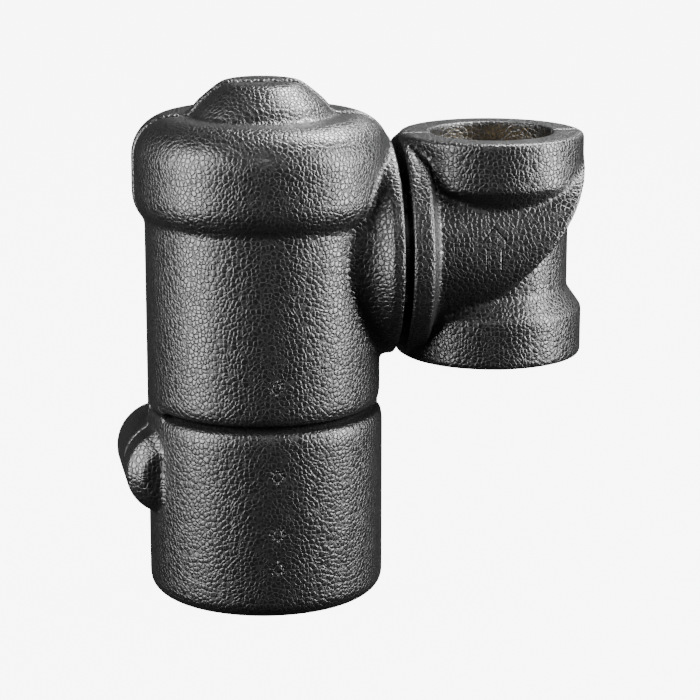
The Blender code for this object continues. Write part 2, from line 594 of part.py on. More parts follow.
# ---- strainer, its support and cap -----------------------------------------------------------------
def strainer_bmesh():
    """Tube of open windows in staggered rows; a Solidify modifier gives it its wall."""
    bm = bmesh.new()
    row_height = STRAINER_HEIGHT / STRAINER_ROWS
    grid = []
    for row in range(STRAINER_ROWS + 1):
        points = polygon(STRAINER_R, STRAINER_COLUMNS)
        grid.append([bm.verts.new((x, y, row * row_height)) for x, y in points])
    for row in range(STRAINER_ROWS):
        for column in range(STRAINER_COLUMNS):
            beside = (column + 1) % STRAINER_COLUMNS
            window = row % 2 == 1 and (column + (row // 2)) % 2 == 0
            if not window:
                bm.faces.new((grid[row][column], grid[row][beside], grid[row + 1][beside],
                              grid[row + 1][column]))
    return bm


support_z = STEP_TOP + 2.0 * MM + SEAT
support_r = CANISTER_R - wall - SEAT
support = place("strainer_support", tube(support_r - SUPPORT_RIM, support_r, support_z,
                support_z + SUPPORT_THICK), separator, (0, 0, 0), look=POLYMER)
hub = place("support_hub_guide", tube(STRAINER_R - 5.0 * MM, STRAINER_R + 1.0 * MM, support_z,
            support_z + SUPPORT_THICK), separator, (0, 0, 0))
for arm in range(SUPPORT_ARMS // 2):
    reach = support_r - 2.0 * MM
    turn = math.pi * arm / (SUPPORT_ARMS // 2)
    bar = place(f"support_arm_guide_{arm}", block((-reach, -SUPPORT_ARM_WIDTH / 2, support_z),
                (reach, SUPPORT_ARM_WIDTH / 2, support_z + SUPPORT_THICK)), separator, (0, 0, 0),
                (0, 0, turn))
    fuse(support, bar)
fuse(support, hub)
strainer_z = support_z + SUPPORT_THICK + SEAT
strainer = place("strainer", strainer_bmesh(), separator, (0, 0, strainer_z), look=MESH)
thicken = strainer.modifiers.new("wall", "SOLIDIFY")
thicken.thickness = STRAINER_WALL
thicken.offset = -1.0
thicken.use_even_offset = True
strainer_top = strainer_z + STRAINER_HEIGHT + SEAT
place("strainer_cap", solid_turned([(0.0, strainer_top), (STRAINER_R + 1.0 * MM, strainer_top),
      (STRAINER_R + 1.0 * MM, strainer_top + 1.5 * MM), (6.0 * MM, strainer_top + 6.0 * MM),
      (0.0, strainer_top + 6.0 * MM)], SMALL_STEPS), separator, (0, 0, 0), look=POLYMER)

# ---- magnet belt: carrier, magnets and steel back strips ---------------------------------------------
FRONT = -math.pi / 2.0
belt_inner = BOWL_R + FIT
belt_outer = belt_inner + BELT_THICK
carrier = place("magnet_carrier", sector(belt_inner, belt_outer, BELT_Z, BELT_Z + BELT_HEIGHT, FRONT,
                BELT_SPAN, 20), separator, (0, 0, 0), look=POLYMER)
magnet_z = BELT_Z + (BELT_HEIGHT - MAGNET_HEIGHT) / 2.0
magnet_inner = belt_inner + SEAT
magnet_outer = magnet_inner + MAGNET_THICK
side_gap = SEAT / magnet_inner
for index in range(MAGNETS):
    middle = FRONT + MAGNET_PITCH * (index - (MAGNETS - 1) / 2.0)
    place(f"magnet_{index + 1}", sector(magnet_inner, magnet_outer, magnet_z, magnet_z + MAGNET_HEIGHT,
          middle, MAGNET_SPAN, 3), separator, (0, 0, 0), look=MAGNET)
    pocket = place(f"magnet_pocket_guide_{index + 1}", sector(belt_inner - 2.0 * MM, magnet_outer + SEAT,
                   magnet_z - SEAT, magnet_z + MAGNET_HEIGHT + SEAT, middle,
                   MAGNET_SPAN + 2.0 * side_gap, 3), separator, (0, 0, 0))
    cut(carrier, pocket)

# ---- tee fitting, origin on the swivel axis ------------------------------------------------------------
port_floor = RUN_HALF_LENGTH - PORT_DEPTH
tee_fitting = place("tee_fitting", rod(RUN_R, -RUN_HALF_LENGTH + RUN_EDGE, RUN_HALF_LENGTH - RUN_EDGE,
                    MID_STEPS), tee, (0, 0, 0), look=BRASS)
for side, sign in (("upper", 1), ("lower", -1)):
    ends = sorted((sign * (RUN_HALF_LENGTH - PORT_HEX_LENGTH), sign * RUN_HALF_LENGTH))
    fuse(tee_fitting, place(f"{side}_hex_guide", prism(polygon(PORT_HEX_R, 6, math.pi / 6.0), *ends),
                            tee, (0, 0, 0)))
branch_end = BRANCH_END_X - TEE_X
ring_x = RING_X - TEE_X
seal_x = branch_end + BRANCH_SEAL_SETBACK
seal_width = BRANCH_SEAL_WIDTH
groove_r = BRANCH_R - RING_GROOVE_DEPTH
branch_barrel = place("branch_barrel_guide", solid_turned([
    (0.0, branch_end), (BRANCH_R, branch_end), (BRANCH_R, seal_x), (groove_r, seal_x),
    (groove_r, seal_x + seal_width), (BRANCH_R, seal_x + seal_width), (BRANCH_R, ring_x - SEAT),
    (groove_r, ring_x - SEAT), (groove_r, ring_x + SPLIT_RING_THICK + SEAT),
    (BRANCH_R, ring_x + SPLIT_RING_THICK + SEAT), (BRANCH_R, -2.0 * MM), (0.0, -2.0 * MM)], MID_STEPS),
    tee, (0, 0, 0), AXIS_X)
run_bore = place("run_bore_guide", solid_turned([
    (0.0, -RUN_HALF_LENGTH - 5.0 * MM), (PORT_R, -RUN_HALF_LENGTH - 5.0 * MM), (PORT_R, -port_floor),
    (RUN_BORE_R, -port_floor), (RUN_BORE_R, port_floor), (PORT_R, port_floor),
    (PORT_R, RUN_HALF_LENGTH + 5.0 * MM), (0.0, RUN_HALF_LENGTH + 5.0 * MM)], MID_STEPS), tee, (0, 0, 0))
branch_bore = place("branch_bore_guide", rod(BRANCH_BORE_R, branch_end - 5.0 * MM, 0.0, MID_STEPS),
                    tee, (0, 0, 0), AXIS_X)
fuse(tee_fitting, branch_barrel)
cut(tee_fitting, run_bore, branch_bore)
place("branch_seal", tube(groove_r + SEAT, BRANCH_R + FIT - SEAT, seal_x + SEAT, seal_x + seal_width - SEAT),
      tee, (0, 0, 0), AXIS_X, look=RUBBER)
split_ring = place("split_ring", sector(groove_r + SEAT, SPLIT_RING_R, ring_x, ring_x + SPLIT_RING_THICK, 0.0,
                   FULL_TURN - SPLIT_RING_MOUTH, 28), tee, (0, 0, 0), AXIS_X, look=STEEL)
divider_bore = (BRANCH_BORE_R - SEAT) * math.cos(math.pi / MID_STEPS)
divider_half = math.sqrt(divider_bore ** 2 - (DIVIDER_THICK / 2.0) ** 2)
place("flow_divider", block((branch_end + 1.0 * MM, -divider_half, -DIVIDER_THICK / 2.0),
      (-RUN_BORE_R - 2.0 * MM, divider_half, DIVIDER_THICK / 2.0)), tee, (0, 0, 0), look=POLYMER)

# ---- lock nut on the canister's spigot --------------------------------------------------------------------
lock_nut = place("lock_nut", prism(lugged(NUT_R, NUT_LUG_R, NUT_LUGS), SPIGOT_END - NUT_GRIP, NUT_END_X),
                 separator, BRANCH, AXIS_X, look=POLYMER)
nut_bore = place("nut_bore_guide", solid_turned([
    (0.0, SPIGOT_END - NUT_GRIP - 5.0 * MM), (NUT_BORE_R, SPIGOT_END - NUT_GRIP - 5.0 * MM),
    (NUT_BORE_R, SPIGOT_END + 1.0 * MM), (SPLIT_RING_R + FIT, SPIGOT_END + 1.0 * MM),
    (SPLIT_RING_R + FIT, NUT_LIP_X), (BRANCH_R + FIT, NUT_LIP_X), (BRANCH_R + FIT, NUT_END_X + 5.0 * MM),
    (0.0, NUT_END_X + 5.0 * MM)], MID_STEPS), separator, BRANCH, AXIS_X)
cut(lock_nut, nut_bore)

# ---- drain cock, along Y ---------------------------------------------------------------------------------
drain_cock = place("drain_cock", solid_turned([
    (0.0, -COCK_FRONT), (COCK_R, -COCK_FRONT), (COCK_R, COCK_SHOULDER), (COCK_TAIL_R, COCK_SHOULDER),
    (COCK_TAIL_R, COCK_TAIL_END), (0.0, COCK_TAIL_END)], SMALL_STEPS), separator, DRAIN, AXIS_Y, look=BRASS)
chamber_front = COCK_FRONT - 2.0 * MM
chamber = place("cock_chamber_guide", solid_turned([
    (0.0, -COCK_FRONT - 5.0 * MM), (STEM_R + SEAT, -COCK_FRONT - 5.0 * MM), (STEM_R + SEAT, -chamber_front),
    (COCK_CHAMBER_R, -chamber_front), (COCK_CHAMBER_R, COCK_SEAT_Y), (COCK_SEAT_R, COCK_SEAT_Y),
    (COCK_SEAT_R, COCK_SEAT_Y + COCK_SEAT_THICK), (COCK_OUTLET_R, COCK_SEAT_Y + COCK_SEAT_THICK),
    (COCK_OUTLET_R, COCK_TAIL_END + 5.0 * MM), (0.0, COCK_TAIL_END + 5.0 * MM)], SMALL_STEPS),
    separator, DRAIN, AXIS_Y)
inlet_end = -DRAIN_X - (BOWL_R - wall)
washer_x = -DRAIN_X - port_end - SEAT - SEAL_THICK
cock_inlet = place("cock_inlet_guide", solid_turned([
    (0.0, 2.0 * MM), (DRAIN_PORT_R, 2.0 * MM), (DRAIN_PORT_R, washer_x - SEAT),
    (COCK_INLET_R, washer_x - SEAT), (COCK_INLET_R, inlet_end), (0.0, inlet_end)], SMALL_STEPS),
    separator, DRAIN, AXIS_X)
cock_inlet_bore = place("cock_inlet_bore_guide", rod(COCK_INLET_BORE_R, 0.0, inlet_end + 5.0 * MM),
                        separator, DRAIN, AXIS_X)
fuse(drain_cock, cock_inlet)
cut(drain_cock, chamber, cock_inlet_bore)
place("drain_washer", tube(COCK_INLET_R + SEAT, DRAIN_PORT_R, washer_x, washer_x + SEAL_THICK, SMALL_STEPS),
      separator, DRAIN, AXIS_X, look=RUBBER)
plunger_seal_y = COCK_SEAT_Y - SEAT - SEAL_THICK
plunger_end = plunger_seal_y - SEAT
stem_tip = KNOB_FRONT - KNOB_FACE - SEAT - PLUNGER_LIFT
place("drain_plunger", solid_turned([
    (0.0, -stem_tip), (STEM_R, -stem_tip), (STEM_R, plunger_end - PLUNGER_HEIGHT),
    (PLUNGER_R, plunger_end - PLUNGER_HEIGHT), (PLUNGER_R, plunger_end), (0.0, plunger_end)], SMALL_STEPS),
    separator, DRAIN, AXIS_Y, look=BRASS)
place("drain_plunger_seal", rod(PLUNGER_R, plunger_seal_y, plunger_seal_y + SEAL_THICK), separator, DRAIN,
      AXIS_Y, look=RUBBER)
place("drain_stem_seal", tube(STEM_R + SEAT, COCK_CHAMBER_R - SEAT, -chamber_front + SEAT,
      -chamber_front + SEAT + SEAL_THICK, SMALL_STEPS), separator, DRAIN, AXIS_Y, look=RUBBER)
knob = place("drain_knob", prism(lugged(KNOB_R - 1.4 * MM, KNOB_R, KNOB_LOBES), -KNOB_FRONT,
             -COCK_FRONT + KNOB_SKIRT), separator, DRAIN, AXIS_Y, look=RED)
knob_bore = place("knob_bore_guide", solid_turned([
    (0.0, -stem_tip - PLUNGER_LIFT - SEAT), (STEM_R + SEAT, -stem_tip - PLUNGER_LIFT - SEAT),
    (STEM_R + SEAT, -COCK_FRONT - SEAT), (COCK_R + SEAT, -COCK_FRONT - SEAT),
    (COCK_R + SEAT, -COCK_FRONT + KNOB_SKIRT + 5.0 * MM), (0.0, -COCK_FRONT + KNOB_SKIRT + 5.0 * MM)],
    SMALL_STEPS), separator, DRAIN, AXIS_Y)
cut(knob, knob_bore)
cap_seal_y = COCK_TAIL_END + SEAT
cap_floor = cap_seal_y + SEAL_THICK + SEAT
cap = place("drain_cap", prism(lugged(CAP_R - 0.8 * MM, CAP_R, KNOB_LOBES), COCK_TAIL_END - CAP_SKIRT,
            cap_floor + CAP_END), separator, DRAIN, AXIS_Y, look=POLYMER)
cap_bore = place("cap_bore_guide", rod(COCK_TAIL_R + SEAT, COCK_TAIL_END - CAP_SKIRT - 5.0 * MM, cap_floor),
                 separator, DRAIN, AXIS_Y)
cut(cap, cap_bore)
place("drain_cap_seal", rod(COCK_TAIL_R - SEAT, cap_seal_y, cap_seal_y + SEAL_THICK), separator, DRAIN,
      AXIS_Y, look=RUBBER)
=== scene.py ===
import math

import bpy
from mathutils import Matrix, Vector


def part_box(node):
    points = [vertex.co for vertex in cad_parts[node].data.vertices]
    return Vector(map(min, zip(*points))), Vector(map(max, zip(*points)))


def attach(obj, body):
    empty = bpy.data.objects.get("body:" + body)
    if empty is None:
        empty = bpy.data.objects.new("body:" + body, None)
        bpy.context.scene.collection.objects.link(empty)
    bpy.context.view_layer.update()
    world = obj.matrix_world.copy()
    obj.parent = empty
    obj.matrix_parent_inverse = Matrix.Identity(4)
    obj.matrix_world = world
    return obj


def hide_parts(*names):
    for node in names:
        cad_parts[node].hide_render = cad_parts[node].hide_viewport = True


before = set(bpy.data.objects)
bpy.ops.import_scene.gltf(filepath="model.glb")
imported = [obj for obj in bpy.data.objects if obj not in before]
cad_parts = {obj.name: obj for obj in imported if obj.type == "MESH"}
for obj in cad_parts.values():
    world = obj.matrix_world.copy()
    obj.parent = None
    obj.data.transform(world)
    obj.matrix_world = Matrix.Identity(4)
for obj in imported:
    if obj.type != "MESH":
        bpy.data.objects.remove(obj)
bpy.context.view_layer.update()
MM = 0.001

# ---- Camera --------------------------------------------------------------------------------------
# A long lens a little above the object and to its left, so that the tee turns slightly away.
# Its place is given from the foot of the canister's axis.
nut_low, nut_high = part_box("lock_nut")
lid_low, lid_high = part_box("lid")
branch_z = (nut_low.z + nut_high.z) / 2.0
axis_x = (lid_low.x + lid_high.x) / 2.0
body_foot = (axis_x, 0.0, 0.0)
branch_centre = (axis_x, 0.0, branch_z)
camera_place = Vector((axis_x - 125.5 * MM, -1143.1 * MM, 391.1 * MM))
camera_turn = math.radians(8.27)
camera_pitch = math.radians(13.58)
bpy.ops.object.camera_add(location=camera_place)
camera = bpy.context.object
camera.name = "studio_camera"
camera.rotation_euler = (math.pi / 2.0 - camera_pitch, 0.0, -camera_turn)
camera.data.lens = 131.0
camera.data.sensor_width = 36.0
camera.data.clip_start = 0.01
camera.data.clip_end = 30.0
camera.data.dof.use_dof = False
bpy.context.scene.camera = camera


# ---- Floor and light -----------------------------------------------------------------------------
# A white table and backdrop.  Two tall soft boxes stand beside the object, so that each round wall
# carries one pale band to the left and one to the right, with a dark band between them.
def plain_material(name, colour, roughness):
    material = bpy.data.materials.new(name)
    material.use_nodes = True
    shader = material.node_tree.nodes["Principled BSDF"]
    shader.inputs["Base Color"].default_value = (*colour, 1.0)
    shader.inputs["Roughness"].default_value = roughness
    return material


bpy.ops.object.select_all(action="DESELECT")
bpy.ops.mesh.primitive_plane_add(size=16.0, location=(0.0, 0.0, -0.3 * MM))
floor = bpy.context.object
floor.name = "studio_floor"
paper = plain_material("studio_paper", (0.04, 0.04, 0.04), 0.95)
paper_shader = paper.node_tree.nodes["Principled BSDF"]
paper_shader.inputs["Specular IOR Level"].default_value = 0.0
paper_shader.inputs["Emission Color"].default_value = (1.0, 1.0, 1.0, 1.0)
paper_shader.inputs["Emission Strength"].default_value = 8.0
bpy.ops.object.select_all(action="DESELECT")
bpy.ops.mesh.primitive_cylinder_add(vertices=96, radius=7.8, depth=12.0, location=(0.0, 0.0, 5.9))
backdrop = bpy.context.object
backdrop.name = "studio_backdrop"
backdrop.visible_shadow = False
for sheet in (floor, backdrop):
    sheet.data.materials.append(paper)
    sheet.visible_glossy = False
    sheet.visible_diffuse = False


def soft_box(name, place, size, power, aim=(axis_x + 25.0 * MM, 0.0, 120.0 * MM)):
    bpy.ops.object.light_add(type="AREA", location=place)
    lamp = bpy.context.object
    lamp.name = name
    lamp.data.shape = "RECTANGLE"
    lamp.data.size, lamp.data.size_y = size
    lamp.data.energy = power
    lamp.visible_camera = False
    lamp.rotation_euler = (Vector(aim) - Vector(place)).to_track_quat("-Z", "Y").to_euler()


soft_box("left_soft_box", (-0.96, -0.3, 0.35), (0.55, 1.1), 50.0)
soft_box("right_soft_box", (1.02, -0.4, 0.4), (0.42, 1.1), 74.0)
soft_box("top_soft_box", (0.55, 0.4, 1.2), (0.6, 0.45), 66.0)
soft_box("front_soft_box", (-0.15, -1.5, 1.0), (0.2, 0.2), 4.5)

world = bpy.data.worlds.new("studio_world")
bpy.context.scene.world = world
world.use_nodes = True
world.node_tree.nodes["Background"].inputs["Color"].default_value = (1.0, 1.0, 1.0, 1.0)
world.node_tree.nodes["Background"].inputs["Strength"].default_value = 0.04

# ---- Body insulation: shared form ----------------------------------------------------------------
# The canister's insulation is steam-moulded from black polypropylene beads.  Its form is a round
# barrel with a wider domed head, a flared neck to the tee, and a boss over the drain cock.
# Moulded foam has no sharp corners, so the joined forms are remeshed and smoothed.
shell_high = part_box("rear_shell")[1]
head_r = shell_high.y
head_overhang = 5.5 * MM
barrel_r = head_r - head_overhang
barrel_height = 176.4 * MM
head_underside_r = 20.0 * MM
head_underside_rise = 13.4 * MM
head_straight = 15.8 * MM
head_shoulder_r = 18.7 * MM
foot_fillet = 8.0 * MM
top_z = shell_high.z
bump_height = 15.1 * MM
bump_base_r = 33.6 * MM
bump_top_r = 15.5 * MM
bump_shares = ((0.0, 0.0), (0.09, 0.16), (0.24, 0.38), (0.47, 0.62), (0.72, 0.86), (0.86, 0.96), (1.0, 1.0))
parting = 0.08 * MM
parting_roll = 2.4 * MM
FINE = 144
head_z = barrel_height + head_underside_rise
shoulder_z = head_z + head_straight + head_shoulder_r


def arc(centre_r, centre_z, radius, start, end, steps):
    marks = [math.radians(start + (end - start) * index / steps) for index in range(steps + 1)]
    return [(centre_r + radius * math.cos(mark), centre_z + radius * math.sin(mark)) for mark in marks]


def select_only(piece):
    bpy.ops.object.select_all(action="DESELECT")
    piece.select_set(True)
    bpy.context.view_layer.objects.active = piece


def settle(piece, turn=(0.0, 0.0, 0.0), place=(0.0, 0.0, 0.0)):
    """Turns a piece, moves it to its place and keeps both in its mesh."""
    piece.rotation_euler = turn
    piece.location = place
    select_only(piece)
    bpy.ops.object.transform_apply(location=True, rotation=True, scale=True)


def loft(name, rings, steps=FINE, turn=(0.0, 0.0, 0.0), place=(0.0, 0.0, 0.0)):
    """Solid grown from a disc: each ring is (half width x, half width y, height)."""
    bpy.ops.object.select_all(action="DESELECT")
    half_x, half_y, height = rings[0]
    bpy.ops.mesh.primitive_circle_add(vertices=steps, radius=1.0, fill_type="NGON")
    piece = bpy.context.object
    piece.name = name
    bpy.ops.object.mode_set(mode="EDIT")
    bpy.ops.mesh.select_all(action="SELECT")
    bpy.ops.transform.resize(value=(half_x, half_y, 1.0), center_override=(0.0, 0.0, 0.0))
    bpy.ops.transform.translate(value=(0.0, 0.0, height))
    for next_x, next_y, next_height in rings[1:]:
        bpy.ops.mesh.extrude_region_move(TRANSFORM_OT_translate={"value": (0.0, 0.0, next_height - height)})
        bpy.ops.transform.resize(value=(next_x / half_x, next_y / half_y, 1.0),
                                 center_override=(0.0, 0.0, next_height))
        half_x, half_y, height = next_x, next_y, next_height
    bpy.ops.mesh.select_all(action="SELECT")
    bpy.ops.mesh.normals_make_consistent(inside=False)
    bpy.ops.object.mode_set(mode="OBJECT")
    settle(piece, turn, place)
    return piece


def lathe(name, outline, steps=FINE, turn=(0.0, 0.0, 0.0), place=(0.0, 0.0, 0.0)):
    return loft(name, [(radius, radius, height) for radius, height in outline], steps, turn, place)


def box_piece(name, low, high):
    bpy.ops.object.select_all(action="DESELECT")
    low, high = Vector(low), Vector(high)
    bpy.ops.mesh.primitive_cube_add(size=1.0, location=(low + high) / 2.0, scale=high - low)
    bpy.context.object.name = name
    bpy.ops.object.transform_apply(location=True, rotation=True, scale=True)
    return bpy.context.object


def combine(piece, tool, operation, keep=False):
    bpy.context.view_layer.objects.active = piece
    step = piece.modifiers.new("combine", "BOOLEAN")
    step.operation = operation
    step.solver = "EXACT"
    step.object = tool
    bpy.ops.object.modifier_apply(modifier=step.name)
    if not keep:
        bpy.data.objects.remove(tool)


def remesh(piece, voxel, repeats):
    """Even skin over the whole form, with every corner rounded as moulded foam is."""
    bpy.context.view_layer.objects.active = piece
    skin = piece.modifiers.new("skin", "REMESH")
    skin.mode = "VOXEL"
    skin.voxel_size = voxel
    bpy.ops.object.modifier_apply(modifier=skin.name)
    if repeats:
        smooth = piece.modifiers.new("smooth", "SMOOTH")
        smooth.factor = 0.5
        smooth.iterations = repeats
        bpy.ops.object.modifier_apply(modifier=smooth.name)
    select_only(piece)
    bpy.ops.object.shade_smooth()


def round_parting(piece):
    """Rolled edges along the parting plane, as the mould leaves them."""
    near = piece.vertex_groups.new(name="parting_edge")
    for vertex in piece.data.vertices:
        share = 1.0 - abs(vertex.co.y) / parting_roll
        if share > 0.0:
            weight = (1.0 - math.sqrt(1.0 - share * share)) * (1.0 - abs(vertex.normal.y))
            near.add([vertex.index], weight, "REPLACE")
    bpy.context.view_layer.objects.active = piece
    roll = piece.modifiers.new("roll", "DISPLACE")
    roll.direction = "NORMAL"
    roll.mid_level = 0.0
    roll.strength = -parting_roll
    roll.vertex_group = near.name
    bpy.ops.object.modifier_apply(modifier=roll.name)
    rolled = [vertex.index for vertex in piece.data.vertices if abs(vertex.co.y) < parting_roll]
    near.add(rolled, 1.0, "REPLACE")
    smooth = piece.modifiers.new("smooth", "SMOOTH")
    smooth.factor = 0.5
    smooth.iterations = 5
    smooth.vertex_group = near.name
    bpy.ops.object.modifier_apply(modifier=smooth.name)
    piece.vertex_groups.clear()


def head_outline(inset=0.0):
    """Head from the crease under it to the middle of its top, drawn in by the inset."""
    underside = arc(head_r - head_underside_r, head_z, head_underside_r - inset, -42.0, 0.0, 8)
    shoulder = arc(head_r - head_shoulder_r, head_z + head_straight, head_shoulder_r - inset, 0.0, 88.0, 14)
    bump = []
    for run, rise in bump_shares:
        bump.append((bump_base_r - inset + (bump_top_r - bump_base_r) * run,
                     shoulder_z - inset + bump_height * rise))
    return [(barrel_r, barrel_height)] + underside + shoulder + bump + [(1.0 * MM, top_z - inset)]


tee_low, tee_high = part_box("tee_shell_front")
collar_r = -tee_low.y
neck_face_x = head_r - 0.7 * MM + axis_x
neck_collar = 5.1 * MM
neck_half_depth = 42.0 * MM
neck_half_height = 53.0 * MM
neck_flare = 16.0 * MM
along_x = (0.0, math.pi / 2.0, 0.0)
along_y = (-math.pi / 2.0, 0.0, 0.0)


def neck_form():
    flare = collar_r - neck_half_depth
    start = neck_face_x - neck_collar - axis_x
    rings = [(neck_half_height, neck_half_depth, 0.0),
             (neck_half_height, neck_half_depth, start - neck_flare)]
    for share in (0.25, 0.5, 0.7, 0.85, 1.0):
        depth = neck_half_depth + flare * share ** 2.2
        height = neck_half_height + (collar_r - neck_half_height) * share
        rings.append((height, depth, start - neck_flare * (1.0 - share)))
    rings.append((collar_r, collar_r, neck_face_x - axis_x))
    return loft("neck_form", rings, turn=along_x, place=branch_centre)


drain_low, drain_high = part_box("drain_cock")
cap_low, cap_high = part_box("drain_cap")
drain_x = (cap_low.x + cap_high.x) / 2.0
drain_z = (cap_low.z + cap_high.z) / 2.0
drain_centre = (drain_x, 0.0, drain_z)
drain_front = 23.0 * MM
drain_rear = 37.0 * MM


def drain_boss_form():
    nose = [(12.5 * MM, -drain_front), (20.0 * MM, -drain_front + 6.5 * MM)]
    tail = [(21.5 * MM, drain_rear - 3.0 * MM), (20.6 * MM, drain_rear - 0.9 * MM), (18.5 * MM, drain_rear)]
    return lathe("drain_boss_form", nose + tail, 96, along_y, drain_centre)


canister_low, canister_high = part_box("canister")
cavity_r = 38.4 * MM
room = 0.4 * MM
ledge = 0.01 * MM
overrun = 10.0 * MM
plug_room_cover = 10.0 * MM
spigot_room_r = 36.5 * MM
drain_room_r = 14.4 * MM
drain_outlet_r = 12.4 * MM
head_cavity_r = lid_high.y + room
plug_low, plug_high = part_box("top_plug")


def body_cavity():
    plug_room_r = plug_high.y + room
    outline = [(cavity_r, canister_low.z - 0.3 * MM), (cavity_r, lid_low.z - room),
               (head_cavity_r, lid_low.z - room + ledge), (head_cavity_r, lid_high.z + room),
               (plug_room_r, lid_high.z + room + ledge), (plug_room_r, top_z - plug_room_cover)]
    return lathe("body_cavity", outline, 96, place=body_foot)


def neck_cavity():
    outline = [(spigot_room_r, 28.0 * MM), (spigot_room_r, head_r + overrun)]
    return lathe("neck_cavity", outline, 96, along_x, branch_centre)


def drain_cavity():
    rear_wall = drain_rear - 6.0 * MM
    outline = [(drain_room_r, -drain_front + 7.5 * MM), (drain_room_r, rear_wall),
               (drain_outlet_r, rear_wall + ledge), (drain_outlet_r, drain_rear + overrun)]
    return lathe("drain_cavity", outline, 64, along_y, drain_centre)


def half_space(side):
    """Everything in front of the parting plane (side -1) or behind it (side 1)."""
    if side < 0:
        return box_piece("front_space", (-0.4, -0.4, -0.4), (0.4, parting, 0.4))
    return box_piece("rear_space", (-0.4, -parting, -0.4), (0.4, 0.4, 0.4))


FORM_VOXEL = 1.1 * MM
SHELL_VOXEL = 0.9 * MM
TEE_VOXEL = 1.0 * MM

# ---- Foam finish ---------------------------------------------------------------------------------
# Fused beads about 2 mm across: each shows as a slightly domed, satin black cell with a fine
# groove round it, and the whole skin carries a faint grain.  The grooves are painted darker than
# the cells: painted shade in the recesses between beads.
texture_unit = 2.9 * MM
groove_width = 0.22
bead_relief = 0.11 * MM
grain_relief = 0.12 * MM
bead_roughness = 0.29
groove_roughness = 0.5
foam_black = (0.0042, 0.0042, 0.0043)
# Painted shade: darker colour for the grooves between beads.
groove_shade_black = (0.001, 0.001, 0.001)


def foam_finish(name):
    material = bpy.data.materials.new(name)
    material.use_nodes = True
    tree = material.node_tree
    shader = tree.nodes["Principled BSDF"]
    link = tree.links.new

    def node(kind, **settings):
        made = tree.nodes.new(kind)
        for key, value in settings.items():
            setattr(made, key, value)
        return made

    place = node("ShaderNodeTexCoord")
    wobble = node("ShaderNodeTexNoise")
    wobble.inputs["Scale"].default_value = 0.22 / texture_unit
    wobble.inputs["Detail"].default_value = 2.0
    shift = node("ShaderNodeMix", data_type="RGBA", blend_type="LINEAR_LIGHT")
    shift.inputs["Factor"].default_value = 0.0012
    link(place.outputs["Object"], wobble.inputs["Vector"])
    link(place.outputs["Object"], shift.inputs[6])
    link(wobble.outputs["Color"], shift.inputs[7])

    edges = node("ShaderNodeTexVoronoi", feature="DISTANCE_TO_EDGE")
    cells = node("ShaderNodeTexVoronoi", feature="F1")
    for voronoi in (edges, cells):
        voronoi.inputs["Scale"].default_value = 1.4 / texture_unit
        voronoi.inputs["Randomness"].default_value = 0.86
        link(shift.outputs[2], voronoi.inputs["Vector"])
    dome = node("ShaderNodeMath", operation="POWER")
    dome.inputs[1].default_value = 2.0
    link(cells.outputs["Distance"], dome.inputs[0])
    groove = node("ShaderNodeMapRange", interpolation_type="SMOOTHSTEP")
    groove.inputs["From Min"].default_value = 0.0
    groove.inputs["From Max"].default_value = groove_width
    link(edges.outputs["Distance"], groove.inputs["Value"])

    # Painted shade: the grooves between beads take the darker colour, the cells the foam black.
    tone = node("ShaderNodeMix", data_type="RGBA")
    tone.inputs[6].default_value = (*groove_shade_black, 1.0)
    tone.inputs[7].default_value = (*foam_black, 1.0)
    link(groove.outputs["Result"], tone.inputs["Factor"])
    varied = node("ShaderNodeHueSaturation")
    cell_tone = node("ShaderNodeMapRange")
    cell_tone.inputs["To Min"].default_value = 0.7
    cell_tone.inputs["To Max"].default_value = 1.35
    link(cells.outputs["Color"], cell_tone.inputs["Value"])
    link(cell_tone.outputs["Result"], varied.inputs["Value"])
    link(tone.outputs[2], varied.inputs["Color"])
    link(varied.outputs["Color"], shader.inputs["Base Color"])

    gloss = node("ShaderNodeMapRange")
    gloss.inputs["To Min"].default_value = groove_roughness
    gloss.inputs["To Max"].default_value = bead_roughness
    link(groove.outputs["Result"], gloss.inputs["Value"])
    link(gloss.outputs["Result"], shader.inputs["Roughness"])

    grain = node("ShaderNodeTexNoise")
    grain.inputs["Scale"].default_value = 3.2 / texture_unit
    grain.inputs["Detail"].default_value = 3.0
    link(place.outputs["Object"], grain.inputs["Vector"])
    fine = node("ShaderNodeBump")
    fine.inputs["Strength"].default_value = 0.2
    fine.inputs["Distance"].default_value = grain_relief
    link(grain.outputs["Fac"], fine.inputs["Height"])
    height = node("ShaderNodeMath", operation="SUBTRACT")
    link(groove.outputs["Result"], height.inputs[0])
    link(dome.outputs["Value"], height.inputs[1])
    beads = node("ShaderNodeBump")
    beads.inputs["Strength"].default_value = 1.0
    beads.inputs["Distance"].default_value = bead_relief
    link(height.outputs["Value"], beads.inputs["Height"])
    link(fine.outputs["Normal"], beads.inputs["Normal"])
    link(beads.outputs["Normal"], shader.inputs["Normal"])
    return material


foam = foam_finish("foam_skin")


def dress_shell(piece, node_name, body):
    piece.data.materials.clear()
    piece.data.materials.append(foam)
    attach(piece, body)
    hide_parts(node_name)


# Each steam vent in the mould leaves a small ring with short rays round it.
vent_ring_r = 2.1 * MM
vent_ray = 1.0 * MM
mark_width = 0.45 * MM
mark_depth = 0.45 * MM


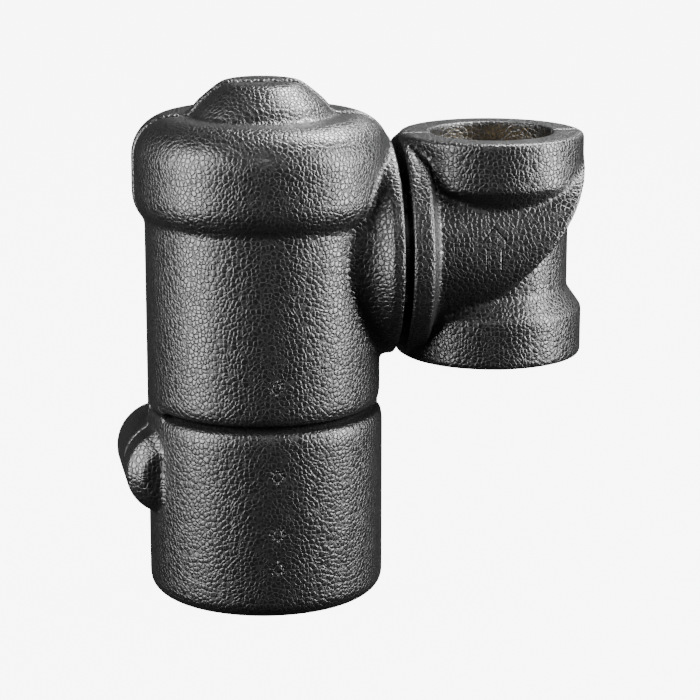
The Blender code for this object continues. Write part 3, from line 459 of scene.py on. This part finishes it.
def vent_cutter(surface_y, height, count=8):
    """Ring and rays that stand across the front line of a round wall."""
    deep = -surface_y + mark_depth
    outer_r = vent_ring_r + mark_width / 2.0
    inner_r = vent_ring_r - mark_width / 2.0
    place = (axis_x, 0.0, height)
    ring = lathe("vent_cutter", [(outer_r, -deep - 3.0 * MM), (outer_r, -deep + 2.0 * mark_depth)],
                 24, along_y, place)
    core = lathe("vent_core", [(inner_r, -deep - 4.0 * MM), (inner_r, -deep + 4.0 * MM)], 24, along_y, place)
    combine(ring, core, "DIFFERENCE")
    for index in range(count):
        angle = 2.0 * math.pi * index / count
        reach = outer_r + 0.2 * MM
        ray = box_piece("vent_ray", (-mark_width / 2.0, surface_y - 3.0 * MM, reach),
                        (mark_width / 2.0, surface_y + mark_depth, reach + vent_ray))
        settle(ray, (0.0, angle, 0.0), place)
        combine(ring, ray, "UNION")
    return ring


# ---- Rear shell ----------------------------------------------------------------------------------
# The full-height back half of the body insulation, moulded in one with the rear half of the neck
# and of the drain boss.  It grips the canister and meets both front pieces on a flat face.
foot = [(1.0 * MM, 0.0)] + arc(barrel_r - foot_fillet, foot_fillet, foot_fillet, -90.0, 0.0, 10)
rear = lathe("rear_foam", foot + head_outline(), place=body_foot)
combine(rear, neck_form(), "UNION")
combine(rear, drain_boss_form(), "UNION")
remesh(rear, FORM_VOXEL, 3)
for hollow in (body_cavity(), neck_cavity(), drain_cavity(), half_space(-1)):
    combine(rear, hollow, "DIFFERENCE")
remesh(rear, FORM_VOXEL, 2)
round_parting(rear)
dress_shell(rear, "rear_shell", "rear_shell")

# ---- Front shell ---------------------------------------------------------------------------------
# The front half above the groove, moulded in one with the front half of the neck.  Its head is
# drawn in a little, so that the joint with the rear half shows as a step.
cover_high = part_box("lower_front_cover")[1]
front_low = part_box("front_shell")[0]
split_z = (cover_high.z + front_low.z) / 2.0
groove_half = 1.5 * MM
groove_depth = 6.0 * MM
lip_depth = 2.0 * MM
lip_height = 7.0 * MM
front_inset = 0.8 * MM
front_vent_rise = 20.0 * MM


def lip(radius, sign):
    """Rounded lip of the groove, above the split (sign 1) or below it (sign -1)."""
    points = [(1.0 * MM, split_z + sign * parting),
              (radius - groove_depth, split_z + sign * (parting + ledge)),
              (radius - groove_depth + ledge, split_z + sign * groove_half)]
    for index in range(9):
        angle = math.pi / 2.0 * index / 8
        points.append((radius - lip_depth * (1.0 - math.sin(angle)),
                       split_z + sign * (groove_half + lip_height * (1.0 - math.cos(angle)) + ledge)))
    return points


def groove_stop(radius, low_z, high_z):
    """Ridge that closes the groove beside the drain boss."""
    stop_span = math.radians(23.0)
    stop_r = radius - room
    ring = lathe("groove_stop", [(stop_r, low_z), (stop_r, high_z)], place=body_foot)
    wedge = box_piece("stop_wedge", (-0.2, 0.0, low_z - 0.01), (0.0, 0.2, high_z + 0.01))
    settle(wedge, (0.0, 0.0, stop_span), body_foot)
    combine(ring, wedge, "INTERSECT")
    return ring


front = lathe("front_foam", lip(barrel_r, 1) + head_outline(front_inset), place=body_foot)
combine(front, neck_form(), "UNION")
combine(front, groove_stop(barrel_r, split_z + parting, split_z + groove_half + lip_height), "UNION")
remesh(front, FORM_VOXEL, 3)
for hollow in (body_cavity(), neck_cavity(), half_space(1)):
    combine(front, hollow, "DIFFERENCE")
remesh(front, SHELL_VOXEL, 2)
round_parting(front)
combine(front, vent_cutter(-barrel_r, split_z + front_vent_rise), "DIFFERENCE")
dress_shell(front, "front_shell", "front_shell")

# ---- Lower front cover ---------------------------------------------------------------------------
# The front half below the groove.  It pulls off by hand to reach the magnets, and its front wall
# stands a little prouder than the barrel above it.
cover_r = 54.6 * MM
cover_shift = 0.6 * MM
cover_vent_heights = (68.0 * MM, 41.0 * MM, 25.0 * MM)
cover_foot = [(1.0 * MM, 0.0)] + arc(cover_r - foot_fillet, foot_fillet, foot_fillet, -90.0, 0.0, 10)
cover = lathe("cover_foam", cover_foot + lip(cover_r, -1)[::-1], place=(axis_x + cover_shift, 0.0, 0.0))
combine(cover, drain_boss_form(), "UNION")
combine(cover, groove_stop(barrel_r, split_z - groove_half - lip_height, split_z - parting), "UNION")
remesh(cover, FORM_VOXEL, 3)
for hollow in (body_cavity(), drain_cavity(), half_space(1)):
    combine(cover, hollow, "DIFFERENCE")
remesh(cover, SHELL_VOXEL, 2)
round_parting(cover)
for height in cover_vent_heights:
    combine(cover, vent_cutter(-cover_r, height), "DIFFERENCE")
dress_shell(cover, "lower_front_cover", "lower_front_cover")

# ---- Tee shells ----------------------------------------------------------------------------------
# Two foam halves round the pipe tee.  A round sleeve covers the branch and crosses the waist, and a
# wide sweep trims its far side, so the front shows one curved edge.
flange_r = 42.7 * MM
tee_x = tee_high.x - flange_r
tee_z = (tee_low.z + tee_high.z) / 2.0
tee_centre = (tee_x, 0.0, tee_z)
tee_foot = (tee_x, 0.0, 0.0)
tee_half = (tee_high.z - tee_low.z) / 2.0
tee_reach = tee_x - tee_low.x
flange_length = 22.0 * MM
flange_chamfer = 9.6 * MM
waist_r = 35.9 * MM
rim_edge = 1.6 * MM
mouth_r = 28.2 * MM
bend_r = 41.7 * MM
sweep_r = 114.9 * MM
sweep_back = 67.0 * MM
sweep_rise = 77.3 * MM
collar_length = 9.3 * MM
collar_chamfer = 3.8 * MM


def tee_form():
    upper = [(waist_r, tee_half - flange_length - flange_chamfer), (flange_r, tee_half - flange_length)]
    upper += arc(flange_r - rim_edge, tee_half - rim_edge, rim_edge, 0.0, 90.0, 4)
    lower = [(radius, -height) for radius, height in upper[::-1]]
    piece = lathe("tee_form", lower + upper, place=tee_centre)
    collar = [(collar_r, -tee_reach), (collar_r, -tee_reach + collar_length),
              (bend_r - 1.0 * MM, -tee_reach + collar_length + collar_chamfer)]
    combine(piece, lathe("tee_collar_form", collar, turn=along_x, place=tee_centre), "UNION")
    combine(piece, sleeve_form(), "UNION")
    return piece


def sleeve_form():
    """Round sleeve over the branch, trimmed on the far side by a wide sweep."""
    reach = 46.0 * MM
    piece = lathe("sleeve_form", [(bend_r, -tee_reach + 2.0 * MM), (bend_r, reach)], turn=along_x,
                  place=tee_centre)
    sweep = lathe("sleeve_sweep", [(sweep_r, -2.0 * bend_r), (sweep_r, 2.0 * bend_r)], 256, along_y,
                  (tee_x - sweep_back, 0.0, tee_z + sweep_rise))
    combine(piece, sweep, "INTERSECT")
    return piece


def tee_cavity():
    hex_room = 22.5 * MM
    run_room_r = 21.4 * MM
    outline = [(mouth_r, -tee_half - overrun), (mouth_r, -hex_room), (run_room_r, -hex_room + ledge),
               (run_room_r, hex_room), (mouth_r, hex_room + ledge), (mouth_r, tee_half + overrun)]
    return lathe("tee_cavity", outline, 96, place=tee_centre)


def tee_branch_cavity():
    nut_room_end = nut_high.x - tee_x + 1.5 * MM
    branch_room_r = 19.4 * MM
    outline = [(spigot_room_r, -tee_reach - overrun), (spigot_room_r, nut_room_end),
               (branch_room_r, nut_room_end + ledge), (branch_room_r, 0.0)]
    return lathe("tee_branch_cavity", outline, 96, along_x, tee_centre)


def cut_flow_arrow(shell):
    """Plain arrow cut into the sleeve: two slanted bars over two upright ones."""
    arrow_x = tee_x - 6.0 * MM
    bar_half = 0.35 * MM
    bars = []
    for sign in (-1.0, 1.0):
        slant = box_piece("arrow_head", (-bar_half, -0.05, -8.6 * MM), (bar_half, -0.03, 0.0))
        settle(slant, (0.0, sign * math.radians(40.0), 0.0), (arrow_x, 0.0, tee_z + 14.0 * MM))
        side_x = arrow_x + sign * 3.4 * MM
        stem = box_piece("arrow_stem", (side_x - bar_half, -0.05, tee_z - 5.0 * MM),
                         (side_x + bar_half, -0.03, tee_z + 4.5 * MM))
        bars += [slant, stem]
    for bar in bars:
        core = lathe("arrow_core", [(bend_r - 0.5 * MM, -tee_reach), (bend_r - 0.5 * MM, tee_reach)],
                     96, along_x, tee_centre)
        combine(bar, core, "DIFFERENCE")
        combine(shell, bar, "DIFFERENCE")


tee_blank = tee_form()
remesh(tee_blank, TEE_VOXEL, 2)
for side, sign in (("front", -1), ("rear", 1)):
    shell = tee_blank.copy()
    shell.data = tee_blank.data.copy()
    shell.name = f"tee_foam_{side}"
    bpy.context.scene.collection.objects.link(shell)
    for hollow in (tee_cavity(), tee_branch_cavity(), half_space(-sign)):
        combine(shell, hollow, "DIFFERENCE")
    remesh(shell, SHELL_VOXEL, 2)
    if side == "front":
        cut_flow_arrow(shell)
    dress_shell(shell, f"tee_shell_{side}", f"tee_shell_{side}")
bpy.data.objects.remove(tee_blank)

# ---- Canister ------------------------------------------------------------------------------------
# Injection-moulded technopolymer vessel: a narrow bowl for the magnets below, a wider body, a
# side spigot for the lock nut and a port for the drain cock.  Ribs stiffen the body.
def grained(name, colour, roughness, metallic, grain, depth, spread, stretch=(1.0, 1.0, 1.0)):
    """Finish with cloudy tone, uneven gloss and a fine grain, stretched where it was brushed or turned."""
    material = bpy.data.materials.new(name)
    material.use_nodes = True
    tree = material.node_tree
    shader = tree.nodes["Principled BSDF"]
    shader.inputs["Metallic"].default_value = metallic
    place = tree.nodes.new("ShaderNodeTexCoord")
    aim = tree.nodes.new("ShaderNodeMapping")
    aim.inputs["Scale"].default_value = stretch
    tree.links.new(place.outputs["Object"], aim.inputs["Vector"])
    cloud = tree.nodes.new("ShaderNodeTexNoise")
    cloud.inputs["Scale"].default_value = 90.0
    cloud.inputs["Detail"].default_value = 5.0
    tree.links.new(place.outputs["Object"], cloud.inputs["Vector"])
    tone = tree.nodes.new("ShaderNodeMapRange")
    tone.inputs["To Min"].default_value = 1.0 - spread
    tone.inputs["To Max"].default_value = 1.0 + spread
    tree.links.new(cloud.outputs["Fac"], tone.inputs["Value"])
    tint = tree.nodes.new("ShaderNodeHueSaturation")
    tint.inputs["Color"].default_value = (*colour, 1.0)
    tree.links.new(tone.outputs["Result"], tint.inputs["Value"])
    tree.links.new(tint.outputs["Color"], shader.inputs["Base Color"])
    fibre = tree.nodes.new("ShaderNodeTexNoise")
    fibre.inputs["Scale"].default_value = grain
    fibre.inputs["Detail"].default_value = 4.0
    tree.links.new(aim.outputs["Vector"], fibre.inputs["Vector"])
    gloss = tree.nodes.new("ShaderNodeMapRange")
    gloss.inputs["To Min"].default_value = roughness * 0.75
    gloss.inputs["To Max"].default_value = roughness * 1.25
    tree.links.new(fibre.outputs["Fac"], gloss.inputs["Value"])
    tree.links.new(gloss.outputs["Result"], shader.inputs["Roughness"])
    relief = tree.nodes.new("ShaderNodeBump")
    relief.inputs["Strength"].default_value = 0.5
    relief.inputs["Distance"].default_value = depth
    tree.links.new(fibre.outputs["Fac"], relief.inputs["Height"])
    tree.links.new(relief.outputs["Normal"], shader.inputs["Normal"])
    return material


def smooth_faces(piece, angle):
    select_only(piece)
    bpy.ops.object.shade_smooth_by_angle(angle=math.radians(angle))


def soften(piece, width, angle=35.0):
    """Small rounded edges, and smooth shading between them."""
    bpy.context.view_layer.objects.active = piece
    edge = piece.modifiers.new("edge", "BEVEL")
    edge.width = width
    edge.segments = 2
    edge.limit_method = "ANGLE"
    edge.angle_limit = math.radians(angle)
    bpy.ops.object.modifier_apply(modifier=edge.name)
    smooth_faces(piece, angle)


def dress(piece, node_name, body, material):
    piece.data.materials.clear()
    piece.data.materials.append(material)
    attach(piece, body)
    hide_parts(node_name)


polymer = grained("black_technopolymer", (0.018, 0.018, 0.019), 0.42, 0.0, 1800.0, 0.02 * MM, 0.25)
canister_r = 38.0 * MM
bowl_r = 32.5 * MM
canister_wall = 3.5 * MM
step_z = 85.0 * MM
step_height = 5.5 * MM
spigot_r = 24.0 * MM
spigot_end = canister_high.x - axis_x
drain_port_r = 8.2 * MM
rib_relief = 0.6 * MM
bore_overrun = 5.0 * MM
ribs = []
for rib_z in (100.0 * MM, 116.0 * MM):
    ribs += [(canister_r - rib_relief, rib_z), (canister_r, rib_z + 0.4 * MM), (canister_r, rib_z + 2.0 * MM),
             (canister_r - rib_relief, rib_z + 2.4 * MM)]
outside = [(28.5 * MM, canister_low.z), (bowl_r - 1.2 * MM, canister_low.z + 1.2 * MM),
           (bowl_r, canister_low.z + 4.0 * MM), (bowl_r, step_z),
           (canister_r - rib_relief, step_z + step_height)]
outside += ribs
outside += [(canister_r - rib_relief, lid_low.z - 14.0 * MM), (canister_r, lid_low.z - 13.6 * MM),
            (canister_r, canister_high.z)]
vessel = lathe("canister_vessel", outside, place=body_foot)
spigot = [(spigot_r, 30.0 * MM), (spigot_r, spigot_end - 0.8 * MM), (spigot_r - 0.8 * MM, spigot_end)]
combine(vessel, lathe("canister_spigot", spigot, 96, along_x, branch_centre), "UNION")
port = [(drain_port_r, -bowl_r - 1.0 * MM), (drain_port_r, -bowl_r + 2.0 * MM)]
combine(vessel, lathe("canister_port", port, 48, along_x, (axis_x, 0.0, drain_z)), "UNION")
inside = [(bowl_r - canister_wall - 4.0 * MM, canister_low.z + canister_wall),
          (bowl_r - canister_wall, canister_low.z + 6.0 * MM), (bowl_r - canister_wall, step_z + 2.0 * MM),
          (canister_r - canister_wall, step_z + step_height + 2.0 * MM),
          (canister_r - canister_wall, canister_high.z + overrun)]
combine(vessel, lathe("canister_inside", inside, 96, place=body_foot), "DIFFERENCE")
socket_r = 19.4 * MM
spigot_bore = [(14.0 * MM, 0.0), (14.0 * MM, spigot_end - 8.0 * MM), (socket_r, spigot_end - 7.99 * MM),
               (socket_r, spigot_end + bore_overrun)]
combine(vessel, lathe("spigot_bore", spigot_bore, 96, along_x, branch_centre), "DIFFERENCE")
port_bore = [(6.8 * MM, -bowl_r - 6.0 * MM), (6.8 * MM, -bowl_r + 12.0 * MM)]
combine(vessel, lathe("port_bore", port_bore, 48, along_x, (axis_x, 0.0, drain_z)), "DIFFERENCE")
soften(vessel, 0.35 * MM)
dress(vessel, "canister", "separator", polymer)

# ---- Lid -----------------------------------------------------------------------------------------
# Cap with twelve grip lugs, moulded from the same technopolymer as the canister.  It screws over
# the canister's rim, and its dished top carries the plug.
def lugged_ring(name, radius, lug_r, lugs, low_z, high_z, lug_width, turn=(0.0, 0.0, 0.0),
                place=(0.0, 0.0, 0.0)):
    """Round blank with rounded lugs standing on its rim."""
    blank = lathe(name, [(radius - 0.8 * MM, low_z), (radius, low_z + 0.8 * MM), (radius, high_z - 0.8 * MM),
                         (radius - 0.8 * MM, high_z)])
    for index in range(lugs):
        lug = box_piece("lug", (radius - 4.0 * MM, -lug_width / 2.0, low_z), (lug_r, lug_width / 2.0, high_z))
        bpy.context.view_layer.objects.active = lug
        edge = lug.modifiers.new("edge", "BEVEL")
        edge.width = 0.7 * MM
        edge.segments = 2
        bpy.ops.object.modifier_apply(modifier=edge.name)
        settle(lug, (0.0, 0.0, 2.0 * math.pi * index / lugs))
        combine(blank, lug, "UNION")
    settle(blank, turn, place)
    return blank


LID_LUGS = 12
lid_skirt = 11.0 * MM
cap = lugged_ring("canister_lid", 42.2 * MM, lid_high.y, LID_LUGS, lid_low.z, lid_high.z, 8.0 * MM,
                  place=body_foot)
thread_room = 0.3 * MM
skirt_r = canister_r + thread_room
plug_bore_r = 10.5 * MM
lid_bore = [(skirt_r, lid_low.z - bore_overrun), (skirt_r, lid_low.z + lid_skirt),
            (plug_bore_r, lid_low.z + lid_skirt + ledge), (plug_bore_r, lid_high.z + bore_overrun)]
combine(cap, lathe("lid_bore", lid_bore, 96, place=body_foot), "DIFFERENCE")
pocket_floor = lid_high.z - 2.5 * MM
dish = lathe("lid_dish", [(20.0 * MM, pocket_floor), (21.5 * MM, lid_high.z + 2.0 * MM)], 96,
             place=body_foot)
lid_boss = [(17.0 * MM, lid_high.z - 5.0 * MM), (16.0 * MM, lid_high.z + 5.0 * MM)]
combine(dish, lathe("lid_boss", lid_boss, 96, place=body_foot), "DIFFERENCE")
combine(cap, dish, "DIFFERENCE")
for index in range(LID_LUGS):
    pocket = box_piece("lid_pocket", (24.0 * MM, -2.6 * MM, pocket_floor),
                       (37.5 * MM, 2.6 * MM, lid_high.z + 2.0 * MM))
    settle(pocket, (0.0, 0.0, 2.0 * math.pi * (index + 0.5) / LID_LUGS), body_foot)
    combine(cap, pocket, "DIFFERENCE")
soften(cap, 0.3 * MM, 40.0)
dress(cap, "lid", "lid", polymer)

# ---- Top plug ------------------------------------------------------------------------------------
# Turned brass plug with a hexagon head.  It screws into the lid on a flat washer, and an air vent
# can take its place.
brass = grained("pressed_brass", (0.62, 0.45, 0.2), 0.3, 1.0, 700.0, 0.015 * MM, 0.18)
plug_hex_r = 13.5 * MM
plug_outline = [(9.4 * MM, plug_low.z), (10.2 * MM, plug_low.z + 0.8 * MM),
                (10.2 * MM, lid_high.z + 2.0 * MM), (15.2 * MM, lid_high.z + 2.01 * MM),
                (15.2 * MM, lid_high.z + 4.5 * MM)]
plug = lathe("vent_plug", plug_outline, 96, place=body_foot)
plug_hex = loft("plug_hex", [(plug_hex_r, plug_hex_r, lid_high.z + 3.5 * MM),
                             (plug_hex_r, plug_hex_r, plug_high.z)], 6,
                turn=(0.0, 0.0, math.pi / 6.0), place=body_foot)
rounding = [(plug_hex_r, lid_high.z), (plug_hex_r, plug_high.z - 1.4 * MM), (11.6 * MM, plug_high.z)]
round_end = lathe("plug_hex_rounding", rounding, 96, place=body_foot)
combine(plug_hex, round_end, "INTERSECT")
combine(plug, plug_hex, "UNION")
soften(plug, 0.25 * MM, 25.0)
dress(plug, "top_plug", "top_plug", brass)

# ---- Tee fitting ---------------------------------------------------------------------------------
# Hot-pressed brass tee with a threaded port at each end and a turned branch, which the split
# ring and the lock nut hold on the canister's spigot.
def hexagon(name, low_z, high_z, across):
    blank = loft(name, [(across, across, low_z), (across, across, high_z)], 6, place=tee_foot)
    edge = 1.6 * MM
    outline = [(across - edge, low_z), (across, low_z + edge), (across, high_z - edge),
               (across - edge, high_z)]
    combine(blank, lathe("hexagon_rounding", outline, 96, place=tee_foot), "INTERSECT")
    return blank


fitting_low, fitting_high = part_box("tee_fitting")
run_r = 21.0 * MM
hex_length = 16.0 * MM
hex_r = fitting_high.y
fitting = lathe("brass_tee", [(run_r, fitting_low.z + 2.0 * MM), (run_r, fitting_high.z - 2.0 * MM)], 96,
                place=tee_foot)
combine(fitting, hexagon("upper_hexagon", fitting_high.z - hex_length, fitting_high.z, hex_r), "UNION")
combine(fitting, hexagon("lower_hexagon", fitting_low.z, fitting_low.z + hex_length, hex_r), "UNION")
branch_start = fitting_low.x - tee_x
ring_low, ring_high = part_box("split_ring")
seal_low, seal_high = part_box("branch_seal")
branch_r = 19.0 * MM
groove_r = branch_r - 1.7 * MM
groove_play = 0.3 * MM
branch = [(branch_r - 0.6 * MM, branch_start), (branch_r, branch_start + 0.6 * MM)]
for start, end in ((seal_low.x, seal_high.x), (ring_low.x, ring_high.x)):
    near, far = start - tee_x - groove_play, end - tee_x + groove_play
    branch += [(branch_r, near), (groove_r, near + ledge), (groove_r, far - ledge), (branch_r, far)]
branch += [(branch_r, -2.0 * MM)]
combine(fitting, lathe("branch_barrel", branch, 96, along_x, tee_centre), "UNION")
port_r = 15.15 * MM
thread_depth = 1.0 * MM
thread_pitch = 2.31 * MM
run_bore_r = 13.0 * MM
port_depth = 17.0 * MM
threads = [(port_r + thread_depth, fitting_high.z - tee_z + bore_overrun)]
for index in range(6):
    top = fitting_high.z - tee_z - 0.6 * MM - thread_pitch * index
    threads += [(port_r + thread_depth, top), (port_r, top - thread_pitch / 2.0)]
port_end = fitting_high.z - tee_z - port_depth
threads += [(port_r, port_end), (run_bore_r, port_end - ledge)]
bore = [(radius, -height) for radius, height in threads] + threads[::-1]
combine(fitting, lathe("run_bore", bore, 96, place=tee_centre), "DIFFERENCE")
branch_bore = [(14.0 * MM, branch_start - bore_overrun), (14.0 * MM, 0.0)]
combine(fitting, lathe("branch_bore", branch_bore, 96, along_x, tee_centre), "DIFFERENCE")
smooth_faces(fitting, 30.0)
dress(fitting, "tee_fitting", "tee", brass)

# ---- Lock nut ------------------------------------------------------------------------------------
# Ring with eight lugs, moulded in technopolymer.  It is tightened by hand on the spigot's thread
# and holds the tee in the direction that it was turned to.
nut_start, nut_end = nut_low.x - axis_x, nut_high.x - axis_x
nut = lugged_ring("swivel_lock_nut", 31.5 * MM, 35.0 * MM, 8, nut_start, nut_end, 9.0 * MM,
                  along_x, branch_centre)
nut_thread_r = spigot_r + thread_room
nut_room_r = 25.6 * MM
nut_bore = [(nut_thread_r, nut_start - bore_overrun), (nut_thread_r, spigot_end + 1.0 * MM),
            (nut_room_r, spigot_end + 1.01 * MM), (nut_room_r, nut_end - 4.4 * MM),
            (socket_r, nut_end - 4.39 * MM), (socket_r, nut_end + bore_overrun)]
combine(nut, lathe("nut_bore", nut_bore, 96, along_x, branch_centre), "DIFFERENCE")
soften(nut, 0.3 * MM, 40.0)
dress(nut, "lock_nut", "lock_nut", polymer)

# ---- Drain cock ----------------------------------------------------------------------------------
# Turned brass cock, screwed into the side of the bowl on a washer.  The knob sits on its front
# end, and the water leaves at the back.
cock_front, cock_rear = -drain_low.y, drain_high.y
cock_r = 9.5 * MM
cock_waist_r = 8.9 * MM
cock_outline = [(cock_waist_r, -cock_front), (cock_r, -cock_front + 0.6 * MM), (cock_r, -3.0 * MM),
                (cock_waist_r, -2.4 * MM), (cock_waist_r, 2.4 * MM), (cock_r, 3.0 * MM), (cock_r, 21.4 * MM),
                (cock_waist_r, 22.0 * MM), (8.8 * MM, 22.01 * MM), (8.8 * MM, cock_rear - 0.8 * MM),
                (8.0 * MM, cock_rear)]
cock = lathe("brass_drain_cock", cock_outline, 96, along_y, drain_centre)
washer_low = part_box("drain_washer")[0]
washer_face = washer_low.x - drain_x - 0.3 * MM
inlet = [(drain_port_r, 2.0 * MM), (drain_port_r, washer_face), (6.5 * MM, washer_face + ledge),
         (6.5 * MM, drain_high.x - drain_x)]
combine(cock, lathe("cock_inlet", inlet, 64, along_x, drain_centre), "UNION")
chamber = [(2.9 * MM, -cock_front - bore_overrun), (2.9 * MM, -7.0 * MM), (6.0 * MM, -6.99 * MM),
           (6.0 * MM, 10.1 * MM), (3.5 * MM, 10.11 * MM), (3.5 * MM, 12.5 * MM), (5.2 * MM, 12.51 * MM),
           (5.2 * MM, cock_rear + bore_overrun)]
combine(cock, lathe("cock_chamber", chamber, 64, along_y, drain_centre), "DIFFERENCE")
combine(cock, lathe("cock_inlet_bore", [(4.5 * MM, 0.0), (4.5 * MM, 30.0 * MM)], 64, along_x,
                    drain_centre), "DIFFERENCE")
smooth_faces(cock, 30.0)
dress(cock, "drain_cock", "separator", brass)

# ---- Drain knob and outlet cap -------------------------------------------------------------------
# The red moulded knob turns on the cock and moves the drain plunger.  The black moulded cap is
# kept pressed on the outlet.
red = grained("red_polymer", (0.4, 0.012, 0.012), 0.38, 0.0, 1500.0, 0.015 * MM, 0.12)


def refine(node_name, width, angle=35.0):
    """Copy of a plain piece with its edges rounded."""
    source = bpy.data.objects[node_name]
    piece = source.copy()
    piece.data = source.data.copy()
    piece.name = f"{node_name}_finished"
    bpy.context.scene.collection.objects.link(piece)
    select_only(piece)
    bpy.ops.object.mode_set(mode="EDIT")
    bpy.ops.mesh.select_all(action="SELECT")
    bpy.ops.mesh.remove_doubles(threshold=0.001 * MM)
    bpy.ops.mesh.dissolve_limited(angle_limit=math.radians(0.5))
    bpy.ops.object.mode_set(mode="OBJECT")
    soften(piece, width, angle)
    return piece


dress(refine("drain_knob", 0.4 * MM), "drain_knob", "drain_knob", red)
dress(refine("drain_cap", 0.4 * MM), "drain_cap", "drain_cap", polymer)

# ---- Magnet belt ---------------------------------------------------------------------------------
# Curved carrier, moulded in polymer, with four nickel-plated magnets set in its pockets.  It
# clasps the bowl and comes away with the lower cover.
nickel = grained("nickel_plate", (0.6, 0.6, 0.61), 0.22, 1.0, 500.0, 0.006 * MM, 0.08, (1.0, 1.0, 8.0))
dress(refine("magnet_carrier", 0.4 * MM), "magnet_carrier", "magnet_belt", polymer)
for index in range(4):
    magnet_name = f"magnet_{index + 1}"
    dress(refine(magnet_name, 0.4 * MM), magnet_name, "magnet_belt", nickel)

# ---- Pieces kept as they are ---------------------------------------------------------------------
# Seals, the strainer with its support and cap, the flow divider, the split ring and the plunger:
# small turned or moulded pieces inside the hard parts, which take their finishes here.
rubber = grained("black_rubber", (0.012, 0.012, 0.012), 0.62, 0.0, 2600.0, 0.02 * MM, 0.2)
spring_steel = grained("spring_steel", (0.5, 0.51, 0.53), 0.32, 1.0, 420.0, 0.01 * MM, 0.1, (12.0, 1.0, 1.0))
strainer_grey = grained("grey_polymer", (0.36, 0.37, 0.36), 0.5, 0.0, 1300.0, 0.02 * MM, 0.12)
finishes = {
    rubber: ("branch_seal", "lid_seal", "top_plug_seal", "drain_washer", "drain_plunger_seal",
             "drain_stem_seal", "drain_cap_seal"),
    polymer: ("strainer_support", "strainer_cap", "flow_divider"),
    strainer_grey: ("strainer",),
    spring_steel: ("split_ring",),
    brass: ("drain_plunger",),
}
for material, names in finishes.items():
    for kept_name in names:
        kept = bpy.data.objects[kept_name]
        for slot_index in range(len(kept.material_slots)):
            kept.material_slots[slot_index].material = material
